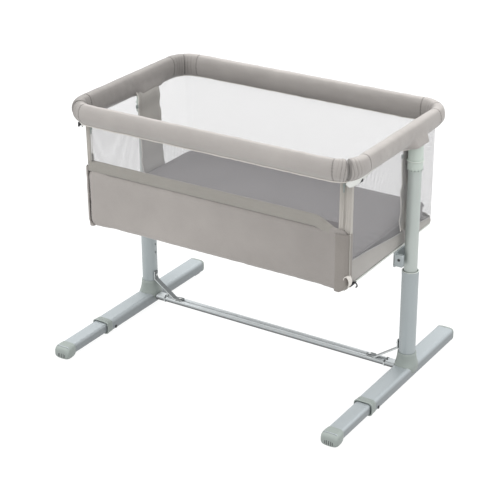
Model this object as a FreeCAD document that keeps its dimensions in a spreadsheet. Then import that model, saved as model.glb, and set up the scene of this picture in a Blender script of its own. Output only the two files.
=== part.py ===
"""Bedside crib: a mesh-sided bassinet hung between two telescopic posts on T-shaped feet.

The long side of the crib lies along X and is centred on X = 0. Y runs from the drop side
(negative) to the fixed rear side (positive), Z is up and the floor is Z = 0. Millimetres.
"""

import FreeCAD, Part
import math
import os
import re

import Sketcher

Vector = FreeCAD.Vector
UP = Vector(0, 0, 1)

DIMENSIONS = {
    # top rail and its padded fabric sleeve
    "rail_length": 920,
    "rail_depth": 578,
    "rail_offset": 10,
    "rail_top": 764.5,
    "rail_corner": 62,
    "sleeve_width": 40,
    "sleeve_height": 63,
    "rail_tube_radius": 11,
    "sleeve_bore_gap": 0.3,
    "rail_split_gap": 1,
    # telescopic posts
    "post_x": 447,
    "post_y": 90,
    "upper_radius": 18.8,
    "upper_wall": 1.8,
    "upper_bottom": 120,
    "upper_top": 690,
    "lower_radius": 23.8,
    "lower_wall": 1.6,
    "lower_bottom": 42,
    "lower_top": 326,
    "ring_radius": 24.3,
    "ring_bore": 20.4,
    "ring_bottom": 322,
    "ring_top": 332,
    "index_radius": 3.2,
    "index_first": 174,
    "index_pitch": 27,
    "index_count": 6,
    "pin_radius": 3,
    "pin_length": 12,
    "pin_reach": 18.3,
    "pin_height": 201,
    # post heads and the release collars below them
    "head_radius": 20.8,
    "head_lip_radius": 23.6,
    "head_lip": 3,
    "head_bottom": 657,
    "head_top": 704,
    "saddle_radius": 15.5,
    "saddle_bore": 11.05,
    "saddle_width": 44,
    "saddle_sink": 8,
    "pocket_room": 6,
    "pocket_width": 60,
    "pocket_top": 19,
    "pocket_drop": 10,
    "collar_bottom": 630,
    "collar_top": 656.5,
    "collar_radius": 21.2,
    "collar_bore": 18.85,
    "collar_chamfer": 4,
    "collar_bump_radius": 3,
    "collar_bump_rise": 9,
    # T feet
    "foot_width": 54,
    "foot_height": 38,
    "foot_round": 11,
    "foot_wall": 2,
    "foot_base": 4,
    "foot_front": -152,
    "foot_rear": 340,
    "gland_front": -168,
    "gland_width": 56,
    "gland_height": 40,
    "gland_round": 12,
    "gland_gap": 0.2,
    "gland_grip": 8,
    "extension_width": 46,
    "extension_height": 30,
    "extension_round": 8,
    "extension_front": -347,
    "extension_rear": -92,
    "toe_front": -355,
    "toe_rear": -318,
    "toe_width": 54,
    "toe_height": 39,
    "toe_round": 12,
    "toe_groove": 3,
    "toe_groove_depth": 4,
    "toe_groove_margin": 8,
    "heel_front": 330,
    "heel_rear": 355,
    "button_radius": 4.5,
    "button_length": 3,
    "button_inner": 25.6,
    "button_y": -128,
    "button_z": 14,
    # post base castings, crossbar and braces
    "base_low_radius": 33,
    "base_top_radius": 27.5,
    "base_bottom": 22,
    "base_top": 80,
    "crossbar_radius": 7.5,
    "crossbar_z": 27,
    "crossbar_spread": 18,
    "crossbar_end": 405,
    "bracket_outer": 416,
    "bracket_inner": 378,
    "bracket_width": 44,
    "bracket_bottom": 16,
    "bracket_top": 38,
    "bracket_round": 3,
    "brace_width": 16,
    "brace_thickness": 3,
    "brace_y": 86,
    "brace_tab_top": 112,
    "brace_tab_bottom": 87,
    "brace_foot_outer": 350,
    "brace_foot_inner": 322,
    "screw_radius": 4.5,
    "screw_depth": 3,
    "screw_high": 101,
    # fabric walls
    "wall_x": 418,
    "wall_rear": 283,
    "wall_front": -212,
    "skin": 2,
    "mesh_bottom": 474,
    "mesh_top": 700,
    "side_mesh_front": -204,
    "side_mesh_rear": 272,
    "rear_mesh_half": 400,
    "strip_width": 100,
    "strip_top": 716,
    "low_wall_thickness": 14,
    "low_wall_bottom": 385,
    "low_wall_top": 580,
    "low_wall_round": 24,
    "front_mesh_half": 384,
    "front_mesh_bottom": 585,
    "front_mesh_top": 690,
    "zip_inner": 387,
    "zip_outer": 417,
    "slider_width": 10,
    "slider_length": 14,
    "slider_depth": 3,
    "slider_top": 688,
    "latch_width": 14,
    "latch_depth": 20,
    "latch_height": 12,
    "latch_top": 700,
    "latch_x": 424,
    "latch_left_front": -240,
    "latch_right_front": -196,
    # mattress tray and what it holds
    "tray_bottom": 396,
    "tray_top": 470,
    "tray_skin": 3,
    "tray_half": 416,
    "tray_front": -211,
    "tray_rear": 281,
    "base_tube_radius": 6,
    "base_tube_half": 407,
    "base_tube_inset": 22,
    "board_bottom": 412,
    "board_thickness": 4,
    "mattress_half": 405,
    "mattress_front": -201,
    "mattress_rear": 271,
    "mattress_bottom": 417,
    "mattress_top": 465,
    "mattress_round": 30,
    "yoke_outer": 419,
    "yoke_inner": 413,
    "yoke_front": 48,
    "yoke_rear": 132,
    "yoke_bottom": 350,
    "yoke_arm": 15,
    "yoke_reach": 441,
    "yoke_lip": 6,
    "strap_start": -300,
    "strap_width": 25,
    "strap_front": -204,
    "strap_thickness": 2.5,
    "hook_length": 16,
    "hook_height": 12,
    "hook_bottom": 398,
    "hook_wall": 2.5,
}

doc = FreeCAD.newDocument("BedsideCrib")
sheet = doc.addObject("Spreadsheet::Sheet", "Dims")
for row, (alias, value) in enumerate(DIMENSIONS.items(), start=1):
    sheet.set(f"A{row}", alias)
    sheet.set(f"B{row}", str(value))
    sheet.setAlias(f"B{row}", alias)
doc.recompute()

parts = []


def value(alias):
    """A driving dimension, read back from the sheet."""
    return float(sheet.get(alias))


def bind(feature, prop, formula):
    """Bind a property to a formula written with the sheet's aliases."""
    feature.setExpression(prop, re.sub(r"[a-z][a-z_]*", lambda word: "Dims." + word.group(0), str(formula)))


def place(feature, at, turn=None):
    """Bind a feature's position to three formulas, after an optional fixed rotation."""
    if turn is not None:
        feature.Placement = FreeCAD.Placement(Vector(), turn)
    for axis, formula in zip("xyz", at):
        bind(feature, "Placement.Base." + axis, formula)


def name_part(feature, label):
    """Label a finished sub-part and put it on the list of parts to write."""
    feature.Label = label
    parts.append(feature)
    return feature


def box(size, low):
    """A block from its three sizes and its lowest corner."""
    feature = doc.addObject("Part::Box", "Block")
    for prop, formula in zip(("Length", "Width", "Height"), size):
        bind(feature, prop, formula)
    place(feature, low)
    return feature


TURNS = {
    "X": FreeCAD.Rotation(Vector(0, 1, 0), 90),
    "Y": FreeCAD.Rotation(Vector(1, 0, 0), -90),
    "Z": FreeCAD.Rotation(),
}


def rod(radius, length, start, axis="Z"):
    """A cylinder from the centre of its first end, along +X, +Y or +Z."""
    feature = doc.addObject("Part::Cylinder", "Rod")
    bind(feature, "Radius", radius)
    bind(feature, "Height", length)
    place(feature, start, TURNS[axis])
    return feature


def cone(low_radius, high_radius, height, start):
    """An upright cone frustum from the centre of its lower face."""
    feature = doc.addObject("Part::Cone", "Cone")
    bind(feature, "Radius1", low_radius)
    bind(feature, "Radius2", high_radius)
    bind(feature, "Height", height)
    place(feature, start)
    return feature


def cut(base, *tools):
    """The base with every tool taken out of it."""
    for tool in tools:
        feature = doc.addObject("Part::Cut", "Cut")
        feature.Base = base
        feature.Tool = tool
        base = feature
    return base


def fuse(*members):
    """One solid from several that touch."""
    feature = doc.addObject("Part::MultiFuse", "Fuse")
    feature.Shapes = list(members)
    return feature


def group(*members):
    """Several separate solids kept as one sub-part."""
    feature = doc.addObject("Part::Compound", "Group")
    feature.Links = list(members)
    return feature


def drawn(shape):
    """A sub-part whose shape no parametric feature makes, such as a bent sweep."""
    feature = doc.addObject("Part::Feature", "Drawn")
    feature.Shape = shape
    feature.Placement = FreeCAD.Placement()
    return feature


def rectangle_sketch(body, width, height, plane="XZ_Plane"):
    """A centred rectangle on one of the body's own planes, with both sizes bound."""
    sketch = body.newObject("Sketcher::SketchObject", "Profile")
    origin_plane = next(f for f in body.Origin.OriginFeatures if f.Role == plane)
    sketch.AttachmentSupport = (origin_plane, [""])
    sketch.MapMode = "FlatFace"
    corners = [Vector(-9, -8, 0), Vector(9, -8, 0), Vector(9, 8, 0), Vector(-9, 8, 0)]
    for i, corner in enumerate(corners):
        sketch.addGeometry(Part.LineSegment(corner, corners[(i + 1) % 4]))
    for i in range(4):
        sketch.addConstraint(Sketcher.Constraint("Coincident", i, 2, (i + 1) % 4, 1))
        sketch.addConstraint(Sketcher.Constraint("Horizontal" if i % 2 == 0 else "Vertical", i))
    sketch.addConstraint(Sketcher.Constraint("Symmetric", 0, 1, 2, 1, -1, 1))
    wide = sketch.addConstraint(Sketcher.Constraint("DistanceX", 0, 1, 0, 2, 18))
    tall = sketch.addConstraint(Sketcher.Constraint("DistanceY", 1, 1, 1, 2, 16))
    sketch.renameConstraint(wide, "wide")
    sketch.renameConstraint(tall, "tall")
    bind(sketch, "Constraints.wide", width)
    bind(sketch, "Constraints.tall", height)
    return sketch


def edges_along(shape, direction):
    """The names of a shape's straight edges that run along a direction."""
    names = []
    for i, edge in enumerate(shape.Edges, start=1):
        if edge.Curve.TypeId == "Part::GeomLine" and abs(edge.Curve.Direction.dot(direction)) > 0.999:
            names.append(f"Edge{i}")
    return names


def rounded_bar(width, height, rounding, length, start):
    """A bar along +Y with a rounded rectangular section, padded from a sketch."""
    body = doc.addObject("PartDesign::Body", "Bar")
    sketch = rectangle_sketch(body, width, height)
    pad = body.newObject("PartDesign::Pad", "Pad")
    pad.Profile = sketch
    bind(pad, "Length", length)
    pad.Reversed = True
    doc.recompute()
    fillet = body.newObject("PartDesign::Fillet", "Rounded")
    fillet.Base = (pad, edges_along(pad.Shape, Vector(0, 1, 0)))
    bind(fillet, "Radius", rounding)
    body.Tip = fillet
    place(body, start)
    doc.recompute()
    return body


def rounded_tube(width, height, rounding, wall, length, start):
    """A hollow bar along +Y, open at both ends."""
    outer = rounded_bar(width, height, rounding, length, start)
    inner = rounded_bar(
        f"{width} - 2 * {wall}", f"{height} - 2 * {wall}", f"{rounding} - {wall}", length, start
    )
    return cut(outer, inner)


def rounded_plate(size, low, rounding, direction):
    """A block whose edges along one direction are rounded."""
    body = doc.addObject("PartDesign::Body", "Plate")
    block = body.newObject("PartDesign::AdditiveBox", "Block")
    for prop, formula in zip(("Length", "Width", "Height"), size):
        bind(block, prop, formula)
    doc.recompute()
    fillet = body.newObject("PartDesign::Fillet", "Rounded")
    fillet.Base = (block, edges_along(block.Shape, direction))
    bind(fillet, "Radius", rounding)
    body.Tip = fillet
    place(body, low)
    return body


# The top rail: its centreline is a rectangle with round corners, split at the apex of both
# front corners so that the front length can drop.
RAIL_X = value("rail_length") / 2 - value("sleeve_width") / 2
RAIL_FRONT = value("rail_offset") - value("rail_depth") / 2 + value("sleeve_width") / 2
RAIL_REAR = value("rail_offset") + value("rail_depth") / 2 - value("sleeve_width") / 2
RAIL_Z = value("rail_top") - value("sleeve_height") / 2


def corner_points(sign, y, inward):
    """The start, apex and end of a round rail corner: side length first, then front or rear."""
    bend = value("rail_corner")
    centre = Vector(sign * (RAIL_X - bend), y + inward * bend, RAIL_Z)
    apex = centre + Vector(sign, -inward, 0).normalize() * bend
    return centre + Vector(sign * bend, 0, 0), apex, centre + Vector(0, -inward * bend, 0)


def arc(start, through, end):
    return Part.Arc(start, through, end).toShape()


def half_arc(start, apex, centre):
    """The part of a corner from its start to its apex."""
    bend = value("rail_corner")
    middle = centre + ((start - centre) + (apex - centre)).normalize() * bend
    return arc(start, middle, apex)


def trimmed_apex(apex, centre, towards):
    """The apex moved along the corner by half the split gap, so that the two rails clear."""
    spoke = apex - centre
    turn = value("rail_split_gap") / 2 / spoke.Length
    side = 1 if spoke.cross(towards - centre).z > 0 else -1
    return centre + FreeCAD.Rotation(UP, side * math.degrees(turn)).multVec(spoke)


def front_corner(sign):
    start, apex, end = corner_points(sign, RAIL_FRONT, 1)
    bend = value("rail_corner")
    return start, apex, end, Vector(sign * (RAIL_X - bend), RAIL_FRONT + bend, RAIL_Z)


def side_path(sign):
    """From the rear corner's start forward to the front corner's apex."""
    rear_start = corner_points(sign, RAIL_REAR, -1)[0]
    start, apex, _, centre = front_corner(sign)
    apex = trimmed_apex(apex, centre, start)
    return [Part.makeLine(rear_start, start), half_arc(start, apex, centre)]


def rear_path():
    """Round both rear corners, from the left side length to the right one."""
    left_start, left_apex, left_end = corner_points(-1, RAIL_REAR, -1)
    right_start, right_apex, right_end = corner_points(1, RAIL_REAR, -1)
    return [
        arc(left_start, left_apex, left_end),
        Part.makeLine(left_end, right_end),
        arc(right_end, right_apex, right_start),
    ]


def front_path():
    """Between the apexes of the two front corners."""
    halves = []
    for sign in (-1, 1):
        _, apex, end, centre = front_corner(sign)
        halves.append(half_arc(end, trimmed_apex(apex, centre, end), centre))
    left_end = corner_points(-1, RAIL_FRONT, 1)[2]
    right_end = corner_points(1, RAIL_FRONT, 1)[2]
    return [halves[0], Part.makeLine(left_end, right_end), halves[1]]


def swept(edges, section):
    """A solid swept along joined edges; section makes the profile for a centre and a direction."""
    path = Part.Wire(Part.__sortEdges__(edges))
    first = path.OrderedEdges[0]
    at_start = path.OrderedVertexes[0].Point.isEqual(first.Vertexes[0].Point, 1e-6)
    at = first.FirstParameter if at_start else first.LastParameter
    profile = section(first.valueAt(at), first.tangentAt(at))
    return path.makePipeShell([profile], True, False)


def round_section(radius):
    return lambda centre, along: Part.Wire(Part.makeCircle(radius, centre, along))


def sleeve_section(centre, along):
    """The upright oval of the padded sleeve."""
    oval = Part.Ellipse(Vector(), value("sleeve_height") / 2, value("sleeve_width") / 2).toShape()
    across = UP.cross(along).normalize()
    frame = FreeCAD.Matrix()
    for column, axis in enumerate((UP, across, UP.cross(across)), start=1):
        for row_number, number in enumerate((axis.x, axis.y, axis.z), start=1):
            setattr(frame, f"A{row_number}{column}", number)
    return Part.Wire(oval.transformGeometry(FreeCAD.Placement(frame).toMatrix())).translated(centre)


def sleeve(edges):
    """A padded sleeve round the rail tube."""
    bore = value("rail_tube_radius") + value("sleeve_bore_gap")
    return swept(edges, sleeve_section).cut(swept(edges, round_section(bore)))


def head_pocket(sign):
    """The space under a side sleeve where the post head comes up to the rail."""
    wide = value("pocket_width")
    size = value("saddle_width") + 2 * value("pocket_room")
    bottom = value("mesh_top") - value("pocket_drop")
    low = Vector(sign * RAIL_X - wide / 2, value("post_y") - size / 2, bottom)
    return Part.makeBox(wide, size, RAIL_Z + value("pocket_top") - bottom, low)


def make_rail():
    tube_section = round_section(value("rail_tube_radius"))
    left, right = side_path(-1), side_path(1)
    rear, front = rear_path(), front_path()
    name_part(drawn(swept(left + rear + right, tube_section)), "rail_tube")
    name_part(drawn(swept(front, tube_section)), "front_rail_tube")
    name_part(drawn(sleeve(rear)), "rear_sleeve")
    name_part(drawn(sleeve(front)), "front_sleeve")
    for side, sign, path in (("left", -1, left), ("right", 1, right)):
        name_part(drawn(sleeve(path).cut(head_pocket(sign))), f"{side}_sleeve")


def make_post(side, sign):
    """One telescopic post, its head, release collar and lock pin."""
    x = f"{sign} * post_x"
    index_side = f"{x} - {sign} * lower_radius"

    lower = cut(
        rod("lower_radius", "lower_top - lower_bottom", (x, "post_y", "lower_bottom")),
        rod("lower_radius - lower_wall", "lower_top - lower_bottom", (x, "post_y", "lower_bottom")),
    )
    for i in range(int(value("index_count"))):
        height = f"index_first + {i} * index_pitch"
        start = (f"{index_side} - lower_wall * 3", "post_y", height)
        lower = cut(lower, rod("index_radius", "lower_wall * 6", start, "X"))
    name_part(lower, f"{side}_lower_post")

    ring = cut(
        rod("ring_radius", "ring_top - ring_bottom", (x, "post_y", "ring_bottom")),
        rod("ring_bore", "ring_top - ring_bottom", (x, "post_y", "ring_bottom")),
        rod("lower_radius", "lower_top - ring_bottom", (x, "post_y", "ring_bottom")),
    )
    name_part(ring, f"{side}_post_ring")

    hole_start = f"{x} - upper_radius - 2" if sign > 0 else f"{x} + 1"
    upper = cut(
        rod("upper_radius", "upper_top - upper_bottom", (x, "post_y", "upper_bottom")),
        rod("upper_radius - upper_wall", "upper_top - upper_bottom", (x, "post_y", "upper_bottom")),
        rod("index_radius", "upper_radius + 1", (hole_start, "post_y", "pin_height"), "X"),
    )
    name_part(upper, f"{side}_upper_post")

    pin_start = f"{x} - pin_reach" if sign > 0 else f"{x} + pin_reach - pin_length"
    name_part(rod("pin_radius", "pin_length", (pin_start, "post_y", "pin_height"), "X"), f"{side}_lock_pin")

    collar = cut(
        fuse(
            rod("collar_radius", "collar_top - collar_bottom - collar_chamfer",
                (x, "post_y", "collar_bottom + collar_chamfer")),
            cone("(collar_radius + collar_bore) / 2", "collar_radius", "collar_chamfer",
                 (x, "post_y", "collar_bottom")),
            rod("collar_bump_radius", "collar_radius + 1",
                (x, "post_y - collar_radius - 1", "collar_bottom + collar_bump_rise"), "Y"),
        ),
        rod("collar_bore", "collar_top - collar_bottom", (x, "post_y", "collar_bottom")),
    )
    name_part(collar, f"{side}_height_collar")

    rail_x = f"{sign} * (rail_length - sleeve_width) / 2"
    saddle_front = "post_y - saddle_width / 2"
    rail_z = "rail_top - sleeve_height / 2"
    head = cut(
        fuse(
            rod("head_lip_radius", "head_lip", (x, "post_y", "head_bottom")),
            rod("head_radius", "head_top - head_bottom", (x, "post_y", "head_bottom")),
            box(
                ("2 * saddle_radius", "saddle_width", f"{rail_z} - head_top + saddle_sink"),
                (f"{rail_x} - saddle_radius", saddle_front, "head_top - saddle_sink"),
            ),
            rod("saddle_radius", "saddle_width", (rail_x, saddle_front, rail_z), "Y"),
        ),
        rod("upper_radius", "upper_top - head_bottom", (x, "post_y", "head_bottom")),
        rod("saddle_bore", "saddle_width", (rail_x, saddle_front, rail_z), "Y"),
    )
    name_part(head, f"{side}_post_head")


def make_foot(side, sign):
    """One T foot: outer tube, gland, heel cap, sliding extension with its toe cap, and button."""
    x = f"{sign} * post_x"
    middle = "foot_base + foot_height / 2"
    button_hole = (f"{x} + foot_width / 2 - foot_wall * 2", "button_y", "button_z")
    tube = rounded_tube(
        "foot_width", "foot_height", "foot_round", "foot_wall",
        "foot_rear - foot_front", (x, "foot_front", middle),
    )
    name_part(cut(tube, rod("button_radius + 0.3", "foot_wall * 3", button_hole, "X")), f"{side}_foot_tube")

    gland_bore = ("extension_width + 2 * gland_gap", "extension_height + 2 * gland_gap", "extension_round")
    gland = cut(
        rounded_bar("gland_width", "gland_height", "gland_round", "foot_front + gland_grip - gland_front",
                    (x, "gland_front", middle)),
        rounded_bar("foot_width", "foot_height", "foot_round", "gland_grip", (x, "foot_front", middle)),
        rounded_bar(*gland_bore, "foot_front - gland_front", (x, "gland_front", middle)),
    )
    name_part(gland, f"{side}_foot_gland")

    extension = rounded_tube(
        "extension_width", "extension_height", "extension_round", "foot_wall",
        "extension_rear - extension_front", (x, "extension_front", middle),
    )
    name_part(extension, f"{side}_foot_extension")

    toe = rounded_bar("toe_width", "toe_height", "toe_round", "toe_rear - toe_front",
                      (x, "toe_front", "toe_height / 2"))
    toe = cut(toe, rounded_bar("extension_width", "extension_height", "extension_round",
                               "toe_rear - extension_front", (x, "extension_front", middle)))
    for i in (-1, 0, 1):
        groove_x = f"{x} + {i} * toe_width / 4 - toe_groove / 2"
        toe = cut(toe, box(("toe_groove", "toe_groove_depth", "toe_height - 2 * toe_groove_margin"),
                           (groove_x, "toe_front", "toe_groove_margin")))
    name_part(toe, f"{side}_toe_cap")

    heel = fuse(
        rounded_bar("foot_width", "foot_height + foot_base", "foot_round", "heel_rear - foot_rear",
                    (x, "foot_rear", "(foot_height + foot_base) / 2")),
        rounded_bar("foot_width - 2 * foot_wall", "foot_height - 2 * foot_wall", "foot_round - foot_wall",
                    "foot_rear - heel_front", (x, "heel_front", middle)),
    )
    name_part(heel, f"{side}_heel_cap")

    press = rod("button_radius", "button_length", (f"{x} + button_inner", "button_y", "button_z"), "X")
    name_part(press, f"{side}_foot_button")


def make_base_casting(side, sign):
    """The flared casting that seats a post on its foot tube, and the crossbar bracket beside it."""
    x = f"{sign} * post_x"
    middle = "foot_base + foot_height / 2"
    half = "base_low_radius"
    skirt = fuse(
        cone("base_low_radius", "base_top_radius", "base_top - base_bottom", (x, "post_y", "base_bottom")),
        box(("foot_width + 8", "2 * base_low_radius - 8", "foot_height / 2 + 4"),
            (f"{x} - foot_width / 2 - 4", f"post_y - {half} + 4", "base_bottom")),
    )
    casting = cut(
        skirt,
        rounded_bar("foot_width", "foot_height", "foot_round", "4 * base_low_radius",
                    (x, "post_y - 2 * base_low_radius", middle)),
        rod("lower_radius", "base_top", (x, "post_y", "foot_base + foot_height")),
    )
    name_part(casting, f"{side}_post_base")

    low_x = "0 - bracket_outer" if sign < 0 else "bracket_inner"
    bracket = rounded_plate(
        ("bracket_outer - bracket_inner", "bracket_width", "bracket_top - bracket_bottom"),
        (low_x, "post_y - bracket_width / 2", "bracket_bottom"), "bracket_round", UP,
    )
    for offset in (-1, 1):
        y = f"post_y + {offset} * crossbar_spread / 2"
        bar = rod("crossbar_radius", "2 * crossbar_end", ("0 - crossbar_end", y, "crossbar_z"), "X")
        bracket = cut(bracket, bar)
    bracket = cut(bracket, rod("base_low_radius", "base_top", (x, "post_y", "base_bottom - 20")))
    name_part(bracket, f"{side}_crossbar_bracket")


def brace_shape(sign):
    """A flat bar bent to lie against the post, slope down and rest on the crossbar."""
    thick = value("brace_thickness")
    post_face = value("post_x") - value("lower_radius") - thick
    rest = value("crossbar_z") + value("crossbar_radius") + thick
    wide = value("brace_width")
    profile = [
        (post_face, value("brace_tab_top")),
        (post_face, value("brace_tab_bottom")),
        (value("brace_foot_outer"), rest),
        (value("brace_foot_inner"), rest),
        (value("brace_foot_inner"), rest - thick),
        (value("brace_foot_outer") + thick / 2, rest - thick),
        (post_face + thick, value("brace_tab_bottom") - thick),
        (post_face + thick, value("brace_tab_top")),
    ]
    outline = [Vector(sign * across, value("brace_y") - wide / 2, high) for across, high in profile]
    return Part.Face(Part.makePolygon(outline + outline[:1])).extrude(Vector(0, wide, 0))


def make_stand_links():
    """The twin crossbar tubes, the braces and the screws that hold them."""
    for name, offset in (("front", -1), ("rear", 1)):
        y = f"post_y + {offset} * crossbar_spread / 2"
        bar = rod("crossbar_radius", "2 * crossbar_end", ("0 - crossbar_end", y, "crossbar_z"), "X")
        name_part(bar, f"crossbar_{name}_tube")
    for side, sign in SIDES:
        name_part(drawn(brace_shape(sign)), f"{side}_brace")
    screws = []
    for side, sign in SIDES:
        face = "post_x - lower_radius - brace_thickness"
        start = f"{face} - screw_depth" if sign > 0 else f"0 - ({face})"
        screws.append(rod("screw_radius", "screw_depth", (start, "brace_y", "screw_high"), "X"))
        foot_x = f"{sign} * (brace_foot_inner + 10)"
        top = "crossbar_z + crossbar_radius + brace_thickness"
        screws.append(rod("screw_radius", "screw_depth", (foot_x, "brace_y", top)))
    name_part(group(*screws), "brace_screws")


def make_walls():
    """The mesh walls, the post covers inside them and the padded low front wall."""
    depth = "side_mesh_rear - side_mesh_front"
    tall = "mesh_top - mesh_bottom"
    for side, sign in SIDES:
        face = "0 - wall_x" if sign < 0 else "wall_x - skin"
        name_part(box(("skin", depth, tall), (face, "side_mesh_front", "mesh_bottom")), f"{side}_end_mesh")
        strip = "0 - wall_x + skin + 1" if sign < 0 else "wall_x - 2 * skin - 1"
        name_part(
            box(("skin", "strip_width", "strip_top - mesh_bottom"),
                (strip, "post_y - strip_width / 2", "mesh_bottom")),
            f"{side}_inner_strip",
        )
        tape = "0 - zip_outer" if sign < 0 else "zip_inner"
        name_part(
            box(("zip_outer - zip_inner", "skin", "front_mesh_top - front_mesh_bottom"),
                (tape, "wall_front - skin", "front_mesh_bottom")),
            f"{side}_zip_tape",
        )
        slider_x = f"{sign} * (zip_outer + zip_inner) / 2 - slider_width / 2"
        name_part(
            box(("slider_width", "slider_depth", "slider_length"),
                (slider_x, "wall_front - skin - slider_depth - 0.3", "slider_top - slider_length")),
            f"{side}_zip_slider",
        )
        latch_x = "0 - latch_x - latch_width" if sign < 0 else "latch_x"
        name_part(
            box(("latch_width", "latch_depth", "latch_height"),
                (latch_x, f"latch_{side}_front", "latch_top - latch_height")),
            f"{side}_latch_button",
        )
    name_part(
        box(("2 * rear_mesh_half", "skin", tall), ("0 - rear_mesh_half", "wall_rear - skin", "mesh_bottom")),
        "rear_mesh",
    )
    name_part(
        box(("2 * front_mesh_half", "skin", "front_mesh_top - front_mesh_bottom"),
            ("0 - front_mesh_half", "wall_front - skin", "front_mesh_bottom")),
        "front_mesh",
    )
    low_wall = rounded_plate(
        ("2 * wall_x", "low_wall_thickness", "low_wall_top - low_wall_bottom"),
        ("0 - wall_x", "wall_front - low_wall_thickness", "low_wall_bottom"),
        "low_wall_round", Vector(0, 1, 0),
    )
    name_part(low_wall, "front_low_wall")


def make_tray():
    """The fabric tray under the walls, its two base tubes, the board, mattress and brackets."""
    depth = "tray_rear - tray_front"
    tray = cut(
        box(("2 * tray_half", depth, "tray_top - tray_bottom"),
            ("0 - tray_half", "tray_front", "tray_bottom")),
        box(("2 * tray_half - 2 * tray_skin", f"{depth} - 2 * tray_skin", "tray_top - tray_bottom"),
            ("0 - tray_half + tray_skin", "tray_front + tray_skin", "tray_bottom + tray_skin")),
    )
    name_part(tray, "tray")
    for name, y in (("front", "tray_front + base_tube_inset"), ("rear", "tray_rear - base_tube_inset")):
        z = "tray_bottom + tray_skin + base_tube_radius + 0.5"
        name_part(
            rod("base_tube_radius", "2 * base_tube_half", ("0 - base_tube_half", y, z), "X"),
            f"base_{name}_tube",
        )
    name_part(
        box(("2 * mattress_half", "mattress_rear - mattress_front", "board_thickness"),
            ("0 - mattress_half", "mattress_front", "board_bottom")),
        "mattress_board",
    )
    name_part(
        rounded_plate(
            ("2 * mattress_half", "mattress_rear - mattress_front", "mattress_top - mattress_bottom"),
            ("0 - mattress_half", "mattress_front", "mattress_bottom"), "mattress_round", UP,
        ),
        "mattress",
    )
    yokes = []
    for _, sign in SIDES:
        tall = "tray_bottom - yoke_bottom"
        low_x = "0 - yoke_outer" if sign < 0 else "yoke_inner"
        bridge_size = ("yoke_outer - yoke_inner", "yoke_rear - yoke_front", tall)
        bridge = box(bridge_size, (low_x, "yoke_front", "yoke_bottom"))
        arm_x = "0 - yoke_reach" if sign < 0 else "yoke_outer"
        arm_size = ("yoke_reach - yoke_outer", "yoke_arm", f"{tall} - yoke_lip")
        arms = [box(arm_size, (arm_x, y, "yoke_bottom")) for y in ("yoke_front", "yoke_rear - yoke_arm")]
        yokes.append(fuse(bridge, *arms))
    name_part(group(*yokes), "base_brackets")
    strap_z = "tray_bottom - strap_thickness"
    name_part(
        box(("wall_x - strap_start", "strap_width", "strap_thickness"),
            ("strap_start", "strap_front", strap_z)),
        "bed_strap",
    )
    hook = cut(
        box(("hook_length", "strap_width", "hook_height"), ("wall_x", "strap_front", "hook_bottom")),
        box(("hook_length - 2 * hook_wall", "strap_width - 2 * hook_wall", "hook_height - 2 * hook_wall"),
            ("wall_x", "strap_front + hook_wall", "hook_bottom + hook_wall")),
    )
    name_part(hook, "strap_hook")


SIDES = (("left", -1), ("right", 1))

make_rail()
for side, sign in SIDES:
    make_post(side, sign)
    make_foot(side, sign)
    make_base_casting(side, sign)
make_stand_links()
make_walls()
make_tray()
doc.recompute()

for feature in doc.Objects:
    if "Invalid" in feature.State or "Error" in feature.State:
        raise RuntimeError(f"{feature.Name} ({feature.Label}) failed: {feature.State}")
os.makedirs("parts", exist_ok=True)
for part in parts:
    if part.Shape.isNull() or not part.Shape.isValid() or not part.Shape.Solids:
        raise RuntimeError(f"{part.Label} has no valid solid")
    part.Shape.exportStep(f"parts/{part.Label}.step")
print(len(parts), "sub-parts written")
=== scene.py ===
"""Bedside crib: fabric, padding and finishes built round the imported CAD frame.

Everything is in metres in the frame's own axes: X along the crib, the drop side towards -Y, Z up.
"""

import math

import bmesh
import bpy
import numpy as np
from mathutils import Matrix, Vector, noise


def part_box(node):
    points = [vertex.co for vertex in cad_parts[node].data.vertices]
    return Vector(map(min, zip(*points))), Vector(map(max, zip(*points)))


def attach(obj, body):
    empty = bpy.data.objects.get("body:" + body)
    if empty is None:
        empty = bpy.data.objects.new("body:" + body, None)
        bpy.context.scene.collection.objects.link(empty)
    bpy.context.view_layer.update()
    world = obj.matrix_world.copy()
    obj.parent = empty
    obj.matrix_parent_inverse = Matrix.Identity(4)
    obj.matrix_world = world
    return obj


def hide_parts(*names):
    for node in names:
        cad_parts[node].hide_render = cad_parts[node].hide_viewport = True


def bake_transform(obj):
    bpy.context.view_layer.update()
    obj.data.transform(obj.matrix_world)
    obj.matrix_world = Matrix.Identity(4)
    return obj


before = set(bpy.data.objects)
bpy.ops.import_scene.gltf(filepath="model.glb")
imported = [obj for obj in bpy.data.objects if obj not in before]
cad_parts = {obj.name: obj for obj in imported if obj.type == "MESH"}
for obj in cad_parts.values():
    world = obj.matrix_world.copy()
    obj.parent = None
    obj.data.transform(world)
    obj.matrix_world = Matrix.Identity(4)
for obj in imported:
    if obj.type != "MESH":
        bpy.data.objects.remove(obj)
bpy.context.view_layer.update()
TAU = 2 * math.pi
MM = 0.001
SIDES = (("left", -1), ("right", 1))

# --- Places read from the frame ---

REAR_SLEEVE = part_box("rear_sleeve")
FRONT_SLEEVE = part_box("front_sleeve")
LOW_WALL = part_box("front_low_wall")
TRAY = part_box("tray")
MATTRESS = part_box("mattress")
REAR_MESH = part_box("rear_mesh")
END_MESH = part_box("right_end_mesh")
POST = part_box("right_upper_post")

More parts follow.
